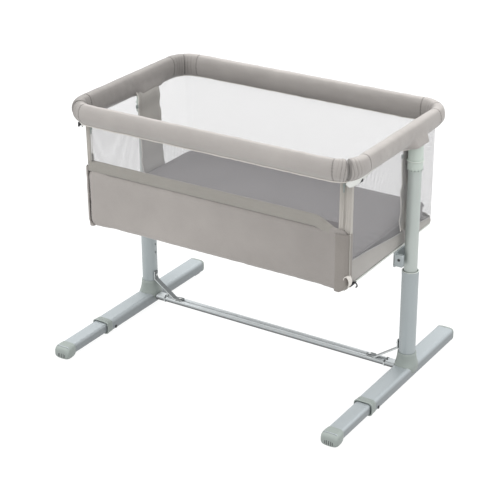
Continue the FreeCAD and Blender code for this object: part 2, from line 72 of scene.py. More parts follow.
RIM_OUT_X = REAR_SLEEVE[1].x
RIM_REAR = REAR_SLEEVE[1].y
RIM_FRONT = FRONT_SLEEVE[0].y
SLEEVE_TALL = REAR_SLEEVE[1].z - REAR_SLEEVE[0].z
SLEEVE_WIDE = 0.040
RIM_Z = (REAR_SLEEVE[1].z + REAR_SLEEVE[0].z) / 2
RIM_BEND = REAR_SLEEVE[1].y - REAR_SLEEVE[0].y - SLEEVE_WIDE / 2
RIM_X = RIM_OUT_X - SLEEVE_WIDE / 2
POST_Y = (POST[0].y + POST[1].y) / 2
POST_X = (POST[0].x + POST[1].x) / 2
WALL_X = END_MESH[1].x
WALL_FRONT = LOW_WALL[1].y
SEAM_Z = TRAY[1].z


# --- Mesh helpers ---

def make_object(name, data):
    thing = bpy.data.objects.new(name, data)
    bpy.context.scene.collection.objects.link(thing)
    return thing


def mesh_piece(name, points, faces, uvs=None):
    """An object from points and faces; uvs hold one (u, v) in metres per face corner."""
    mesh = bpy.data.meshes.new(name)
    mesh.from_pydata([tuple(p) for p in points], [], faces)
    if uvs is not None:
        layer = mesh.uv_layers.new(name="UVMap")
        layer.data.foreach_set("uv", np.array(uvs, float).reshape(-1))
    mesh.polygons.foreach_set("use_smooth", [True] * len(mesh.polygons))
    mesh.update()
    return make_object(name, mesh)


def surface(name, us, vs, point, around=None, caps=False):
    """A sheet of quads from point(u, v). With around, v closes on itself after that distance."""
    rows, cols = len(us), len(vs)
    points = [point(u, v) for u in us for v in vs]
    faces, uvs = [], []
    last = cols if around is not None else cols - 1
    for i in range(rows - 1):
        for j in range(last):
            k = (j + 1) % cols
            faces.append((i * cols + j, i * cols + k, (i + 1) * cols + k, (i + 1) * cols + j))
            far = vs[j + 1] if j + 1 < cols else vs[0] + around
            uvs += [(us[i], vs[j]), (us[i], far), (us[i + 1], far), (us[i + 1], vs[j])]
    if caps:
        for start, order in ((0, -1), ((rows - 1) * cols, 1)):
            faces.append(tuple(range(start, start + cols))[::order])
            uvs += [(0.0, 0.0)] * cols
    return mesh_piece(name, points, faces, uvs)


def shares(count):
    """Evenly spaced values from 0 to 1."""
    return list(np.linspace(0, 1, count))


def turns(count):
    """Evenly spaced shares of a full turn, without the last, which is the first again."""
    return shares(count + 1)[:-1]


def squared(value, power):
    """A sine or cosine made squarer by a power below 1."""
    return math.copysign(abs(value) ** power, value)


def scale_uvs(piece, across=1.0, along=1.0):
    """Turns a surface's UVs from shares into metres."""
    for corner in piece.data.uv_layers[0].data:
        corner.uv.x *= across
        corner.uv.y *= along


def thicken(piece, thickness, offset=None):
    """Gives a single layer of cloth or plastic its thickness."""
    solid = piece.modifiers.new("thickness", "SOLIDIFY")
    solid.thickness = thickness
    if offset is not None:
        solid.offset = offset


def smoothed(piece):
    """Rounds a coarse grid with one level of subdivision."""
    smooth = piece.modifiers.new("round", "SUBSURF")
    smooth.levels = smooth.render_levels = 1


def outward(piece):
    """Points every face of a closed piece outwards."""
    fixed = bmesh.new()
    fixed.from_mesh(piece.data)
    bmesh.ops.recalc_face_normals(fixed, faces=fixed.faces)
    fixed.to_mesh(piece.data)
    fixed.free()
    return piece


def spaced(start, end, step):
    """Values from start to end about one step apart."""
    return list(np.linspace(start, end, max(2, int(round(abs(end - start) / step)) + 1)))


def refined(values, places, reach, step):
    """More samples close to each of the places, where a seam needs them."""
    extra = []
    low, high = values[0], values[-1]
    for place in places:
        extra += list(np.arange(max(low, place - reach), min(high, place + reach), step))
    return sorted(set(round(v, 6) for v in list(values) + extra))


def tube(name, points, radius, sides=10, closed=False):
    """A round tube along points, as a bevelled curve turned into a mesh."""
    curve = bpy.data.curves.new(name, "CURVE")
    curve.dimensions = "3D"
    curve.bevel_depth = radius
    curve.bevel_resolution = max(1, sides // 4)
    curve.use_fill_caps = not closed
    spline = curve.splines.new("POLY")
    spline.points.add(len(points) - 1)
    for knot, place in zip(spline.points, points):
        knot.co = (*place, 1)
    spline.use_cyclic_u = closed
    made = make_object(name + "_curve", curve)
    bpy.context.view_layer.update()
    mesh = bpy.data.meshes.new_from_object(made.evaluated_get(bpy.context.evaluated_depsgraph_get()))
    bpy.data.objects.remove(made)
    mesh.name = name
    mesh.polygons.foreach_set("use_smooth", [True] * len(mesh.polygons))
    return make_object(name, mesh)


def block(name, low, high, bevel=1 * MM, segments=3):
    """A box with rounded edges."""
    mesh = bpy.data.meshes.new(name)
    bm = bmesh.new()
    bmesh.ops.create_cube(bm, size=1)
    size, middle = Vector(high) - Vector(low), (Vector(high) + Vector(low)) / 2
    for vert in bm.verts:
        vert.co = Vector(a * b for a, b in zip(vert.co, size)) + middle
    bmesh.ops.bevel(bm, geom=bm.edges[:], offset=bevel, segments=segments, profile=0.5, affect="EDGES")
    bm.to_mesh(mesh)
    bm.free()
    mesh.polygons.foreach_set("use_smooth", [True] * len(mesh.polygons))
    return make_object(name, mesh)


def around_point(name, middle, half, bevel, segments=3):
    """A rounded box from its middle and half sizes."""
    low, high = (tuple(m + sign * h for m, h in zip(middle, half)) for sign in (-1, 1))
    return block(name, low, high, bevel, segments)


def joined(name, pieces):
    """Several objects made into one mesh."""
    merged = bmesh.new()
    for piece in pieces:
        merged.from_mesh(piece.data)
        bpy.data.objects.remove(piece)
    mesh = bpy.data.meshes.new(name)
    merged.to_mesh(mesh)
    merged.free()
    return make_object(name, mesh)


def wobble(place, size, seed=0.0):
    """Smooth repeatable noise from -1 to 1 at a place, with features of one size."""
    return noise.noise(Vector(place) / size + Vector((seed, 1.7 * seed, -seed)))


def smoothstep(low, high, value):
    """Zero below low, one above high and a smooth rise between."""
    t = min(1.0, max(0.0, (value - low) / (high - low)))
    return t * t * (3 - 2 * t)


def bump_at(value, place, reach):
    """One at a place, falling smoothly to zero at a distance."""
    return math.exp(-(((value - place) / reach) ** 2))


# --- Materials ---

class Shader:
    """A small builder for one Principled material."""

    def __init__(self, name, **settings):
        self.material = bpy.data.materials.new(name)
        self.material.use_nodes = True
        self.tree = self.material.node_tree
        self.bsdf = self.tree.nodes["Principled BSDF"]
        for key, setting in settings.items():
            self.bsdf.inputs[key.replace("_", " ")].default_value = setting

    def node(self, kind, inputs=None, **properties):
        made = self.tree.nodes.new("ShaderNode" + kind)
        for key, setting in properties.items():
            setattr(made, key, setting)
        for key, source in (inputs or {}).items():
            if isinstance(source, bpy.types.NodeSocket):
                self.tree.links.new(source, made.inputs[key])
            else:
                made.inputs[key].default_value = source
        return made

    def math(self, operation, a, b=0.0):
        return self.node("Math", {0: a, 1: b}, operation=operation).outputs[0]

    def times(self, a, b):
        return self.math("MULTIPLY", a, b)

    def coordinates(self, space):
        return self.node("TexCoord").outputs[space]

    def noise(self, place, scale, detail=3.0, roughness=0.5):
        inputs = {"Vector": place, "Scale": scale, "Detail": detail, "Roughness": roughness}
        return self.node("TexNoise", inputs).outputs["Fac"]

    def blend_colours(self, factor, first, second):
        mix = self.node("Mix", data_type="RGBA")
        self.tree.links.new(factor, mix.inputs[0])
        mix.inputs[6].default_value = (*first, 1)
        mix.inputs[7].default_value = (*second, 1)
        return mix.outputs[2]

    def remap(self, source, low, high, to_low=0.0, to_high=1.0):
        inputs = {"Value": source, "From Min": low, "From Max": high, "To Min": to_low, "To Max": to_high}
        return self.node("MapRange", inputs).outputs[0]

    def grounded(self, colour, low=0.55, edge=0.0, side=0.80):
        """The colour with painted light and shade by how a face points: low on the underside, side at the
        edge slope, and 1.12 times as bright on top.
        """
        rise = self.axis(self.coordinates("Normal"), 2)
        below = self.remap(rise, edge - 0.8, edge, low, side)
        above = self.remap(rise, edge, edge + 0.7, 0.0, 1.12 - side)
        return self.scaled(colour, self.math("ADD", below, above))

    def axis(self, source, number):
        """One of X, Y and Z of a vector."""
        return self.node("SeparateXYZ", {0: source}).outputs[number]

    def scaled(self, colour, factor):
        return self.node("VectorMath", {0: colour, "Scale": factor}, operation="SCALE").outputs[0]

    def connect(self, source, key):
        self.tree.links.new(source, self.bsdf.inputs[key])

    def bump(self, height, strength, distance):
        inputs = {"Height": height, "Strength": strength, "Distance": distance}
        self.connect(self.node("Bump", inputs).outputs[0], "Normal")


def shade(colour, factor):
    return tuple(channel * factor for channel in colour)


def srgb(red, green, blue):
    """A linear colour from the 0 to 255 values a person reads off a swatch."""
    def linear(value):
        value /= 255
        return value / 12.92 if value <= 0.04045 else ((value + 0.055) / 1.055) ** 2.4
    return tuple(linear(v) for v in (red, green, blue))


def weave_height(shader, place, thread):
    """A plain weave: warp and weft crowns that alternate over a checker of threads."""
    split = shader.node("SeparateXYZ", {0: place})
    waves = [
        shader.math("SINE", shader.times(split.outputs[axis], math.pi / thread)) for axis in (0, 1)
    ]
    return shader.times(waves[0], waves[1])


def woven_fabric(name, colour, thread=0.9 * MM, space="UV", sheen=0.25, lining=None, sides=None, fade=None,
                 facing=0.25):
    """Woven polyester: threads, a little melange, slow shading and soft creases.

    lining gives the band of the second UV coordinate, the sleeve's inner side, that is painted a little
    darker as shade.
    Cloth with a lining also gets painted light and shade by facing, darker low on its sides and lighter on
    top, painted shade in its folds and along the left end, and facing says how much darker its front is
    painted than its rear. sides is the factor for the colour of upright faces, painted light above 1. fade
    is painted light falling off
    along X: two places, two factors.
    """
    shader = Shader(name, Roughness=0.82, Sheen_Weight=sheen, Sheen_Roughness=0.45)
    place = shader.coordinates("Object")
    melange = shader.noise(place, 900, 2)
    slow = shader.noise(place, 9, 3)
    tint = shader.math("ADD", shader.times(melange, 0.55), shader.times(slow, 0.45))
    cloth = shader.blend_colours(shader.remap(tint, 0.35, 0.65), shade(colour, 0.90), shade(colour, 1.09))
    if lining:
        # Painted shade: the band on the sleeve's inner side is drawn 4% darker.
        middle, half = (lining[0] + lining[1]) / 2, (lining[1] - lining[0]) / 2
        second = shader.axis(shader.coordinates("UV"), 1)
        away = shader.math("ABSOLUTE", shader.math("SUBTRACT", second, middle))
        inside = shader.remap(away, half * 0.90, half * 1.02, 0.96, 1.0)
        # Painted light and shade by facing: lighter on top, darker low on the sides, and darker on the front
        # as facing says.
        normal = shader.node("SeparateXYZ", {0: shader.coordinates("Normal")})
        rise = shader.math("ADD", normal.outputs[2], shader.times(normal.outputs[1], facing))
        painted_shade = shader.times(inside, shader.remap(rise, 0.56, 0.98, 0.76, 1.05))
        # Painted shade in the folds, deeper where the fold attribute is deeper.
        fold = shader.node("Attribute", attribute_name="fold").outputs["Fac"]
        painted_shade = shader.times(painted_shade, shader.remap(fold, -1.6, -0.1, 0.60, 1.0))
        # Painted shade along the left end of the sleeves.
        split = shader.node("SeparateXYZ", {0: place})
        left = shader.remap(split.outputs[0], -0.470, -0.390, 0.55, 0.0)
        left_end_shade = shader.times(left, shader.remap(split.outputs[1], -0.31, -0.25))
        painted_shade = shader.times(painted_shade, shader.math("SUBTRACT", 1.0, left_end_shade))
        cloth = shader.scaled(cloth, painted_shade)
    if sides:
        # Painted light: upright faces are drawn brighter by the factor sides.
        rise = shader.axis(shader.coordinates("Normal"), 2)
        cloth = shader.scaled(cloth, shader.remap(rise, 0.2, 0.8, sides, 1.0))
    if fade:
        # Painted light falling off along X, darker towards the right.
        cloth = shader.scaled(cloth, shader.remap(shader.axis(place, 0), *fade))
    shader.connect(cloth, "Base Color")
    crease = shader.noise(place, 45, 4, 0.6)
    if space == "UV":
        threads = weave_height(shader, shader.coordinates("UV"), thread)
    else:
        threads = shader.node("TexVoronoi", {"Vector": place, "Scale": 1 / thread}).outputs["Distance"]
    height = shader.math("ADD", shader.times(threads, 0.16), shader.times(crease, 1.0))
    shader.bump(height, 0.45, 0.9 * MM)
    return shader.material


def netting(name, colour, pitch=2.6 * MM, edge=-0.8):
    """Warp-knit mesh: a honeycomb of round holes cut by alpha; edge sets how wide the threads are."""
    shader = Shader(name, Roughness=0.7, Sheen_Weight=0.2)
    uv = shader.node("SeparateXYZ", {0: shader.coordinates("UV")})
    wave_number = 4 * math.pi / (math.sqrt(3) * pitch)
    waves = None
    for angle in (math.radians(degrees) for degrees in (90, 210, 330)):
        along = shader.math(
            "ADD", shader.times(uv.outputs[0], wave_number * math.cos(angle)),
            shader.times(uv.outputs[1], wave_number * math.sin(angle)),
        )
        wave = shader.math("COSINE", along)
        waves = wave if waves is None else shader.math("ADD", waves, wave)
    threads = shader.remap(waves, edge - 0.15, edge + 0.15, 1.0, 0.0)
    shader.connect(threads, "Alpha")
    fuzz = shader.noise(shader.coordinates("Object"), 300, 2)
    shader.connect(shader.blend_colours(fuzz, shade(colour, 0.92), shade(colour, 1.05)), "Base Color")
    shader.bump(threads, 0.3, 0.4 * MM)
    return shader.material


def tube_metal(name, colour, roughness=0.42, metallic=0.3, underside=0.5, edge=0.0, side=0.80):
    """Satin anodised tube: fine drawn lines, faint handling marks, and painted shade that darkens its
    underside and sides and lightens its top.
    """
    shader = Shader(name, Metallic=metallic, Roughness=roughness)
    place = shader.coordinates("Object")
    cloud = shader.noise(place, 12, 4)
    tint = shader.blend_colours(cloud, shade(colour, 0.94), shade(colour, 1.05))
    # Painted light and shade by facing: darker below and on the sides, lighter on top.
    shader.connect(shader.grounded(tint, underside, edge, side), "Base Color")
    grain = shader.noise(place, 700, 3)
    shader.connect(shader.remap(grain, 0.3, 0.7, roughness - 0.06, roughness + 0.08), "Roughness")
    shader.bump(grain, 0.12, 0.15 * MM)
    return shader.material


def strip_steel(name, face, edge):
    """Dull rolled strip whose sheared edges, which face the front and rear, stay bright."""
    shader = Shader(name, Metallic=0.6, Roughness=0.4)
    place = shader.coordinates("Object")
    across = shader.axis(shader.coordinates("Normal"), 1)
    sheared = shader.remap(shader.math("ABSOLUTE", across), 0.75, 0.92)
    shader.connect(shader.blend_colours(sheared, face, edge), "Base Color")
    shader.bump(shader.noise(place, 500, 3), 0.15, 0.15 * MM)
    return shader.material


def moulded_plastic(name, colour, roughness=0.5):
    """Spark-eroded moulding texture with slightly polished wear, and painted shade that darkens its
    underside and sides and lightens its top.
    """
    shader = Shader(name, Roughness=roughness)
    place = shader.coordinates("Object")
    texture = shader.noise(place, 1400, 2)
    wear = shader.noise(place, 30, 5)
    tint = shader.blend_colours(wear, shade(colour, 0.93), shade(colour, 1.06))
    # Painted light and shade by facing: darker below and on the sides, lighter on top.
    shader.connect(shader.grounded(tint, 0.55, side=0.87), "Base Color")
    shader.connect(shader.remap(wear, 0.3, 0.7, roughness - 0.08, roughness + 0.08), "Roughness")
    shader.bump(texture, 0.25, 0.12 * MM)
    return shader.material


def plated_steel(name, colour):
    shader = Shader(name, Metallic=1.0, Roughness=0.3)
    place = shader.coordinates("Object")
    spots = shader.noise(place, 260, 4)
    shader.connect(shader.blend_colours(spots, shade(colour, 0.85), shade(colour, 1.1)), "Base Color")
    shader.bump(spots, 0.1, 0.2 * MM)
    return shader.material


SLEEVE_GIRTH = 0.17
# The band round the sleeve's section, its inner side facing the basket, that gets painted shade.
SHADED_BAND = (0.19 * SLEEVE_GIRTH, 0.77 * SLEEVE_GIRTH)
RIM_CLOTH = woven_fabric("rim_cloth", srgb(176, 171, 167), lining=SHADED_BAND)
# The drop rail's cloth is painted darker on its front.
RAIL_CLOTH = woven_fabric("rail_cloth", srgb(176, 171, 167), lining=SHADED_BAND, facing=1.0)
ZIP_CLOTH = woven_fabric("zip_cloth", srgb(167, 163, 157))
# The front panel's cloth is painted darker towards the right.
PANEL_CLOTH = woven_fabric("panel_cloth", srgb(152, 147, 143), space="Object", fade=(-0.10, 0.42, 1.0, 0.80))
HEM_CLOTH = woven_fabric("hem_cloth", srgb(139, 136, 130))
STRIP_CLOTH = woven_fabric("strip_cloth", srgb(158, 155, 150))
CORNER_CLOTH = woven_fabric("corner_cloth", srgb(128, 123, 118), space="Object")
TAPE_CLOTH = woven_fabric("tape_cloth", srgb(156, 153, 147), thread=0.6 * MM, space="Object")
TRAY_CLOTH = woven_fabric("tray_cloth", srgb(152, 149, 145))
PIPING_CLOTH = woven_fabric("piping_cloth", srgb(206, 202, 196), thread=0.6 * MM, space="Object")
# The mattress's upright sides are painted brighter.
MATTRESS_CLOTH = woven_fabric("mattress_cloth", srgb(98, 95, 96), space="Object", sheen=0.1, sides=1.2)
BOARD = woven_fabric("board_cover", srgb(120, 117, 114), space="Object")
WEBBING = woven_fabric("webbing", srgb(150, 145, 140), thread=1.4 * MM)
NET = netting("side_net", srgb(168, 167, 169))
METAL = tube_metal("satin_tube", srgb(174, 182, 184))
# The foot tubes' upright sides are painted darker (side 0.56).
FOOT_METAL = tube_metal("foot_tube", srgb(166, 173, 176), side=0.56)
POST_METAL = tube_metal("post_tube", srgb(182, 189, 185), underside=0.6, side=0.90)
# The crossbar tubes are painted much darker on their lower halves, standing in for the shade under them.
LIGHT_METAL = tube_metal(
    "crossbar_metal", srgb(206, 211, 213), roughness=0.38, metallic=0.35, underside=0.12, edge=0.5,
)
DARK_METAL = strip_steel("brace_metal", srgb(108, 112, 113), srgb(200, 204, 204))
GREY_PLASTIC = moulded_plastic("grey_plastic", srgb(143, 151, 147))
COIL_PLASTIC = moulded_plastic("coil_plastic", srgb(170, 166, 160))
HEAD_PLASTIC = moulded_plastic("head_plastic", srgb(196, 206, 198))
WHITE_PLASTIC = moulded_plastic("flap_plastic", srgb(238, 239, 235))
PALE_PLASTIC = moulded_plastic("pale_plastic", srgb(205, 210, 204), roughness=0.4)
DARK_PLASTIC = moulded_plastic("dark_plastic", srgb(42, 43, 45), roughness=0.45)
ZINC = plated_steel("zinc", srgb(196, 198, 198))


def dress(piece, material, body=None, slot=None, stands_for=()):
    """Gives a piece its material and body and hides the CAD nodes it stands for. slot is not used."""
    piece.data.materials.clear()
    piece.data.materials.append(material)
    if stands_for:
        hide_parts(*stands_for)
    if body:
        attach(piece, body)
    return piece


def rack(piece):
    """Bakes a basket fabric's placement into its mesh."""
    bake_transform(piece)


# --- The rim's centreline ---

class Rim:
    """The rim's closed centreline, measured from the left front corner's apex round the rear."""

    def __init__(self):
        b = RIM_BEND
        front, rear = RIM_FRONT + SLEEVE_WIDE / 2, RIM_REAR - SLEEVE_WIDE / 2
        quarter = b * math.pi / 2
        corners = {
            "lf": Vector((-RIM_X + b, front + b)), "lr": Vector((-RIM_X + b, rear - b)),
            "rr": Vector((RIM_X - b, rear - b)), "rf": Vector((RIM_X - b, front + b)),
        }
        side, across = rear - front - 2 * b, 2 * (RIM_X - b)
        self.runs = [
            ("bend", quarter / 2, corners["lf"], 225), ("left", side, corners["lf"], 180),
            ("bend", quarter, corners["lr"], 180), ("rear", across, corners["lr"], 90),
            ("bend", quarter, corners["rr"], 90), ("right", side, corners["rr"], 0),
            ("bend", quarter, corners["rf"], 0), ("front", across, corners["rf"], -90),
            ("bend", quarter / 2, corners["lf"], 270),
        ]
        self.starts = [sum(run[1] for run in self.runs[:i]) for i in range(len(self.runs) + 1)]
        self.length = self.starts[-1]
        self.split = self.starts[6] + quarter / 2
        self.front_start, self.front_end = self.split, self.length
        self.bend_length = quarter

    def at(self, s):
        """The centreline's plan position and outward direction at a distance along it."""
        s = min(max(s, 0.0), self.length - 1e-9)
        i = max(k for k in range(len(self.runs)) if self.starts[k] <= s + 1e-12)
        kind, _, corner, start = self.runs[i]
        along = s - self.starts[i]
        if kind == "bend":
            angle = math.radians(start) - along / RIM_BEND
            out = Vector((math.cos(angle), math.sin(angle)))
            return corner + out * RIM_BEND, out
        out = Vector((math.cos(math.radians(start)), math.sin(math.radians(start))))
        ahead = Vector((out.y, -out.x))
        return corner + out * RIM_BEND + ahead * along, out


RIM = Rim()
SIDE_MIDDLES = []
for run_index in (1, 5):
    start_s = RIM.starts[run_index]
    start_y = RIM.at(start_s)[0].y
    SIDE_MIDDLES.append(start_s + abs(POST_Y - start_y))


def sleeve_point(s, turn, extra=0.0):
    """A point on the padded sleeve: distance along the rim, turn round the section from 0 to 1."""
    angle = TAU * turn
    c, d = math.cos(angle), math.sin(angle)
    across = squared(c, 0.80) * SLEEVE_WIDE / 2
    up = squared(d, 0.84) * SLEEVE_TALL / 2
    low = max(0.0, -up / (SLEEVE_TALL / 2))
    flare = max(
        1 - smoothstep(0.030, 0.056, abs(s - middle)) for middle in SIDE_MIDDLES
    )
    across *= 1 - 0.50 * low ** 1.6
    outer = smoothstep(-0.7, 0.7, c)
    broad = max(1 - smoothstep(0.036, 0.085, abs(s - middle)) for middle in SIDE_MIDDLES)
    across += (-0.0085 + 0.039 * outer * flare - 0.013 * (1 - outer) * broad) * low ** 1.5
    up -= 0.004 * broad * low * (1 - outer)
    place, out = RIM.at(s)
    base = Vector((place.x + out.x * across, place.y + out.y * across, RIM_Z + up))
    normal = Vector((out.x * c, out.y * c, d)).normalized()
    puff = 0.0009 * wobble(base, 0.045, 1) + 0.0006 * wobble(base, 0.016, 2)
    return base + normal * (puff + extra)


U_SEAMS = [
    RIM.starts[1] + 0.010, RIM.starts[2] - 0.004, RIM.starts[2] + RIM.bend_length / 2, RIM.starts[3] + 0.004,
    RIM.starts[4] - 0.004, RIM.starts[4] + RIM.bend_length / 2, RIM.starts[5] + 0.004, RIM.starts[6] - 0.010,
]
FRONT_SEAMS = [RIM.front_start + 0.034, RIM.front_end - 0.034]


def sleeve_relief(s, turn, seams, ends):
    """Seam grooves and the gathers that the sleeve's cloth makes at its cut ends and bends."""
    relief = 0.0
    for seam in seams:
        relief -= 0.0017 * bump_at(s, seam, 0.0015)
        pucker = math.sin(TAU * (turn * 26 + 0.15 * math.sin(seam * 90)))
        relief += 0.0004 * pucker * bump_at(s, seam, 0.008)
    for end in ends:
        reach = abs(s - end)
        wander = 0.9 * math.sin(TAU * turn * 2 + 60 * end)
        pleat = abs(math.sin(math.pi * reach / 0.0078 + wander)) ** 0.6 - 0.6
        fade = math.exp(-((reach - 0.012) / 0.013) ** 2) * (0.45 + 0.55 * abs(math.cos(TAU * turn)))
        relief += 0.0034 * pleat * fade
        relief -= 0.0050 * math.exp(-(reach / 0.0042) ** 2)
    for start, length in BENDS:
        leave = start + length
        inside = smoothstep(start, start + 0.02, s) * (1 - smoothstep(leave - 0.02, leave, s))
        inner = max(0.0, -math.cos(TAU * turn))
        relief += 0.0011 * inside * inner * math.sin(TAU * s / 0.013 + 3 * turn)
    return relief


BENDS = [(RIM.starts[i], RIM.runs[i][1]) for i in (0, 2, 4, 6, 8)]


def make_sleeve(name, start, end, seams, ends, stands_for, body):
    """One padded sleeve along the rim, with the depth of its folds kept as the attribute "fold"."""
    stations = refined(spaced(start, end, 5 * MM), list(seams), reach=6 * MM, step=1 * MM)
    stations = refined(stations, list(ends), reach=34 * MM, step=1.1 * MM)
    around = turns(48)
    piece = surface(
        name, stations, around,
        lambda s, turn: sleeve_point(s, turn, sleeve_relief(s, turn, seams, ends)), around=1.0, caps=True,
    )
    scale_uvs(piece, along=SLEEVE_GIRTH)
    # The fold depth also drives painted shade in the sleeve cloth's folds.
    folds = piece.data.attributes.new("fold", "FLOAT", "POINT")
    depths = [1000 * sleeve_relief(s, turn, seams, ends) for s in stations for turn in around]
    folds.data.foreach_set("value", depths)
    return dress(piece, RAIL_CLOTH if body == "drop_side" else RIM_CLOTH, body, "taupe_fabric", stands_for)


def rim_line(start, end, turn, out, step=6 * MM):
    """Points along the sleeve at one turn of its section, pushed out a little."""
    return [sleeve_point(s, turn, out) for s in spaced(start, end, step)]


def make_rim():
    """The rim's padded sleeve, the drop rail's, and the piping under both."""
    gap = 0.6 * MM
    rear = make_sleeve(
        "rim_sleeve", gap, RIM.split - gap, U_SEAMS, (gap, RIM.split - gap),
        ("rear_sleeve", "left_sleeve", "right_sleeve"), "rim",
    )
    front = make_sleeve(
        "drop_rail_sleeve", RIM.split + gap, RIM.length - gap, FRONT_SEAMS,
        (RIM.split + gap, RIM.length - gap), ("front_sleeve",), "drop_side",
    )
    for name, start, end, turn, body in (
        ("rim_piping", gap * 3, RIM.split - gap * 3, 0.75, "rim"),
        ("drop_rail_piping", RIM.split + gap * 3, RIM.length - gap * 3, 0.835, "drop_side"),
    ):
        piping = tube(name, rim_line(start, end, turn, 1.4 * MM), 1.7 * MM)
        dress(piping, PIPING_CLOTH, body, "taupe_fabric")


# --- Walls ---

NET_TOP = RIM_Z - SLEEVE_TALL / 2
WALL_RUN = REAR_MESH[1].y - WALL_FRONT


def seam_height(y):
    """Height of the sewn line between an end's net and its solid cloth; it falls to the rear."""
    fall = 0.028 * smoothstep(WALL_FRONT, 0.12, y)
    return SEAM_Z - 0.003 - fall - 0.020 * smoothstep(0.10, REAR_MESH[1].y, y)


def rear_round(y):
    """How far an end wall turns in where it meets the rear wall."""
    return 0.011 * smoothstep(REAR_MESH[1].y - 0.020, REAR_MESH[1].y + 0.004, y)


def end_bow(y):
    """How far an end wall is drawn out towards its post."""
    return 0.005 * smoothstep(-0.16, 0.03, y) * (1 - smoothstep(0.16, 0.27, y))


def net_panel(name, point, stands_for, flat, body=None):
    """A stretched net: point gives a place for 0 to 1 along it and 0 to 1 down it."""
    us, vs = shares(97), shares(33)
    piece = surface(name, us, vs, point)
    scale_uvs(piece, flat[0], flat[1])
    dress(piece, NET, None, "mesh_fabric", stands_for)
    if body:
        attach(piece, body)
    else:
        rack(piece)
    return piece


def drape(v, tuck, tuck_rise, low_z):
    """Offset outwards and height of a wall that leaves the sleeve and turns straight down."""
    turn = 0.16
    if v < turn:
        t = v / turn
        return tuck * (1 - t) ** 2, NET_TOP + tuck_rise * (1 - t) ** 2 - 0.004 * t
    t = (v - turn) / (1 - turn)
    return 0.0, (NET_TOP - 0.004) * (1 - t) + low_z * t


def ripple(u, v, seed):
    """The shallow waves of a net held only at its edges."""
    fade = math.sin(math.pi * min(1, max(0, u))) ** 0.5 * math.sin(math.pi * v)
    place = (u * 3, v, seed)
    return fade * (0.0014 * wobble(place, 0.55, seed) + 0.0004 * wobble(place, 0.16, seed))


def make_net_walls():
    """The rear net and both end nets, from under the sleeve down to the sewn line."""
    rear_y = REAR_MESH[1].y
    half = WALL_X + 0.0005
    rear_half = half - rear_round(rear_y)

    def rear(u, v):
        out, z = drape(v, -0.006, 0.014, seam_height(rear_y))
        return Vector(((2 * u - 1) * rear_half, rear_y + out + ripple(u, v, 2), z))

    tall = NET_TOP - seam_height(rear_y) + 0.02
    net_panel("rear_net", rear, ("rear_mesh",), (2 * rear_half, tall))
    for side, sign in SIDES:

        def end(u, v, sign=sign):
            y = WALL_FRONT + u * WALL_RUN
            out, z = drape(v, 0.007, 0.014, seam_height(y))
            bow = end_bow(y) * (1 - v ** 4) - rear_round(y)
            return Vector((sign * (half + out + bow + ripple(u, v, 5 + sign)), y, z))

        tall = NET_TOP - seam_height(0) + 0.02
        net_panel(f"{side}_end_net", end, (f"{side}_end_mesh",), (WALL_RUN, tall))


FRONT_NET_LEFT = -0.411
FRONT_NET_RIGHT = 0.389


def make_front_net():
    """The drop side's net and the binding of its left edge."""
    low_z = LOW_WALL[1].z - 0.006

    def front(u, v):
        out, z = drape(v, -0.030, 0.010, low_z)
        x = FRONT_NET_LEFT + u * (FRONT_NET_RIGHT - FRONT_NET_LEFT)
        return Vector((x, WALL_FRONT - 0.001 + out + ripple(u, v, 3), z))

    net_panel(
        "front_net", front, ("front_mesh",), (FRONT_NET_RIGHT - FRONT_NET_LEFT, NET_TOP - low_z + 0.03),
        body="drop_side",
    )
    heights = spaced(low_z, NET_TOP - 0.004, 8 * MM)
    line = [Vector((FRONT_NET_LEFT - 0.0005, WALL_FRONT - 0.0015, z)) for z in heights]
    dress(tube("front_net_binding", line, 1.6 * MM), TAPE_CLOTH, "drop_side", "mesh_fabric")


COVER_X = 0.4185
COVER_SPANS = {"left": ((0.024, 0.128), (0.038, 0.144)), "right": ((0.072, 0.146), (0.072, 0.148))}


def make_post_covers():
    """The padded cloth covers between the sleeping space and the two posts.

    A span is the cover's front and rear edge in Y, at its top and at its foot.
    """
    thick = 0.0042
    for side, sign in SIDES:
        top_span, low_span = COVER_SPANS[side]
        stations = spaced(0, 1, 1 / 44)

        def point(u, turn, sign=sign, top_span=top_span, low_span=low_span):
            z = (SEAM_Z - 0.020) * (1 - u) + (NET_TOP + 0.018) * u
            front, back = (low + (top - low) * u for low, top in zip(low_span, top_span))
            angle = TAU * turn
            c, d = math.cos(angle), math.sin(angle)
            y = (front + back) / 2 + squared(c, 0.35) * (back - front) / 2
            y += 0.0013 * math.sin(TAU * u * 6 + sign) * (1 if c < 0 else -1)
            pinch = 1 - 0.55 * math.exp(-((abs(c) ** 0.35 - 0.90) / 0.05) ** 2)
            lean = 0.004 * smoothstep(0.90, 1.0, u)
            x = COVER_X + lean + 0.0015 * math.sin(TAU * u * 3.5 + 2 * sign) + d * thick * pinch
            x += 0.0012 * wobble((0, y, z), 0.04, sign)
            return Vector((sign * x, y, z))

        piece = surface(f"{side}_post_cover", stations, turns(40), point, around=1.0, caps=True)
        scale_uvs(piece, 0.26, 0.2)
        dress(piece, STRIP_CLOTH, None, "taupe_fabric", (f"{side}_inner_strip",))
        rack(piece)
        edge = [point(u, 0.5) + Vector((0, -0.0008, 0)) for u in stations]
        binding = tube(f"{side}_cover_binding", edge, 1.5 * MM)
        dress(binding, PIPING_CLOTH, None, "taupe_fabric")
        rack(binding)
        x, y, z = sign * (COVER_X + 0.001), top_span[0] - 0.002, NET_TOP - 0.032
        tab = around_point(f"{side}_cover_tab", (x, y - 0.0005, z), (0.002, 0.0065, 0.006), 1.9 * MM)
        dress(tab, GREY_PLASTIC, None, "grey_plastic")
        rack(tab)


# --- Padded pieces, swollen by cloth simulation ---

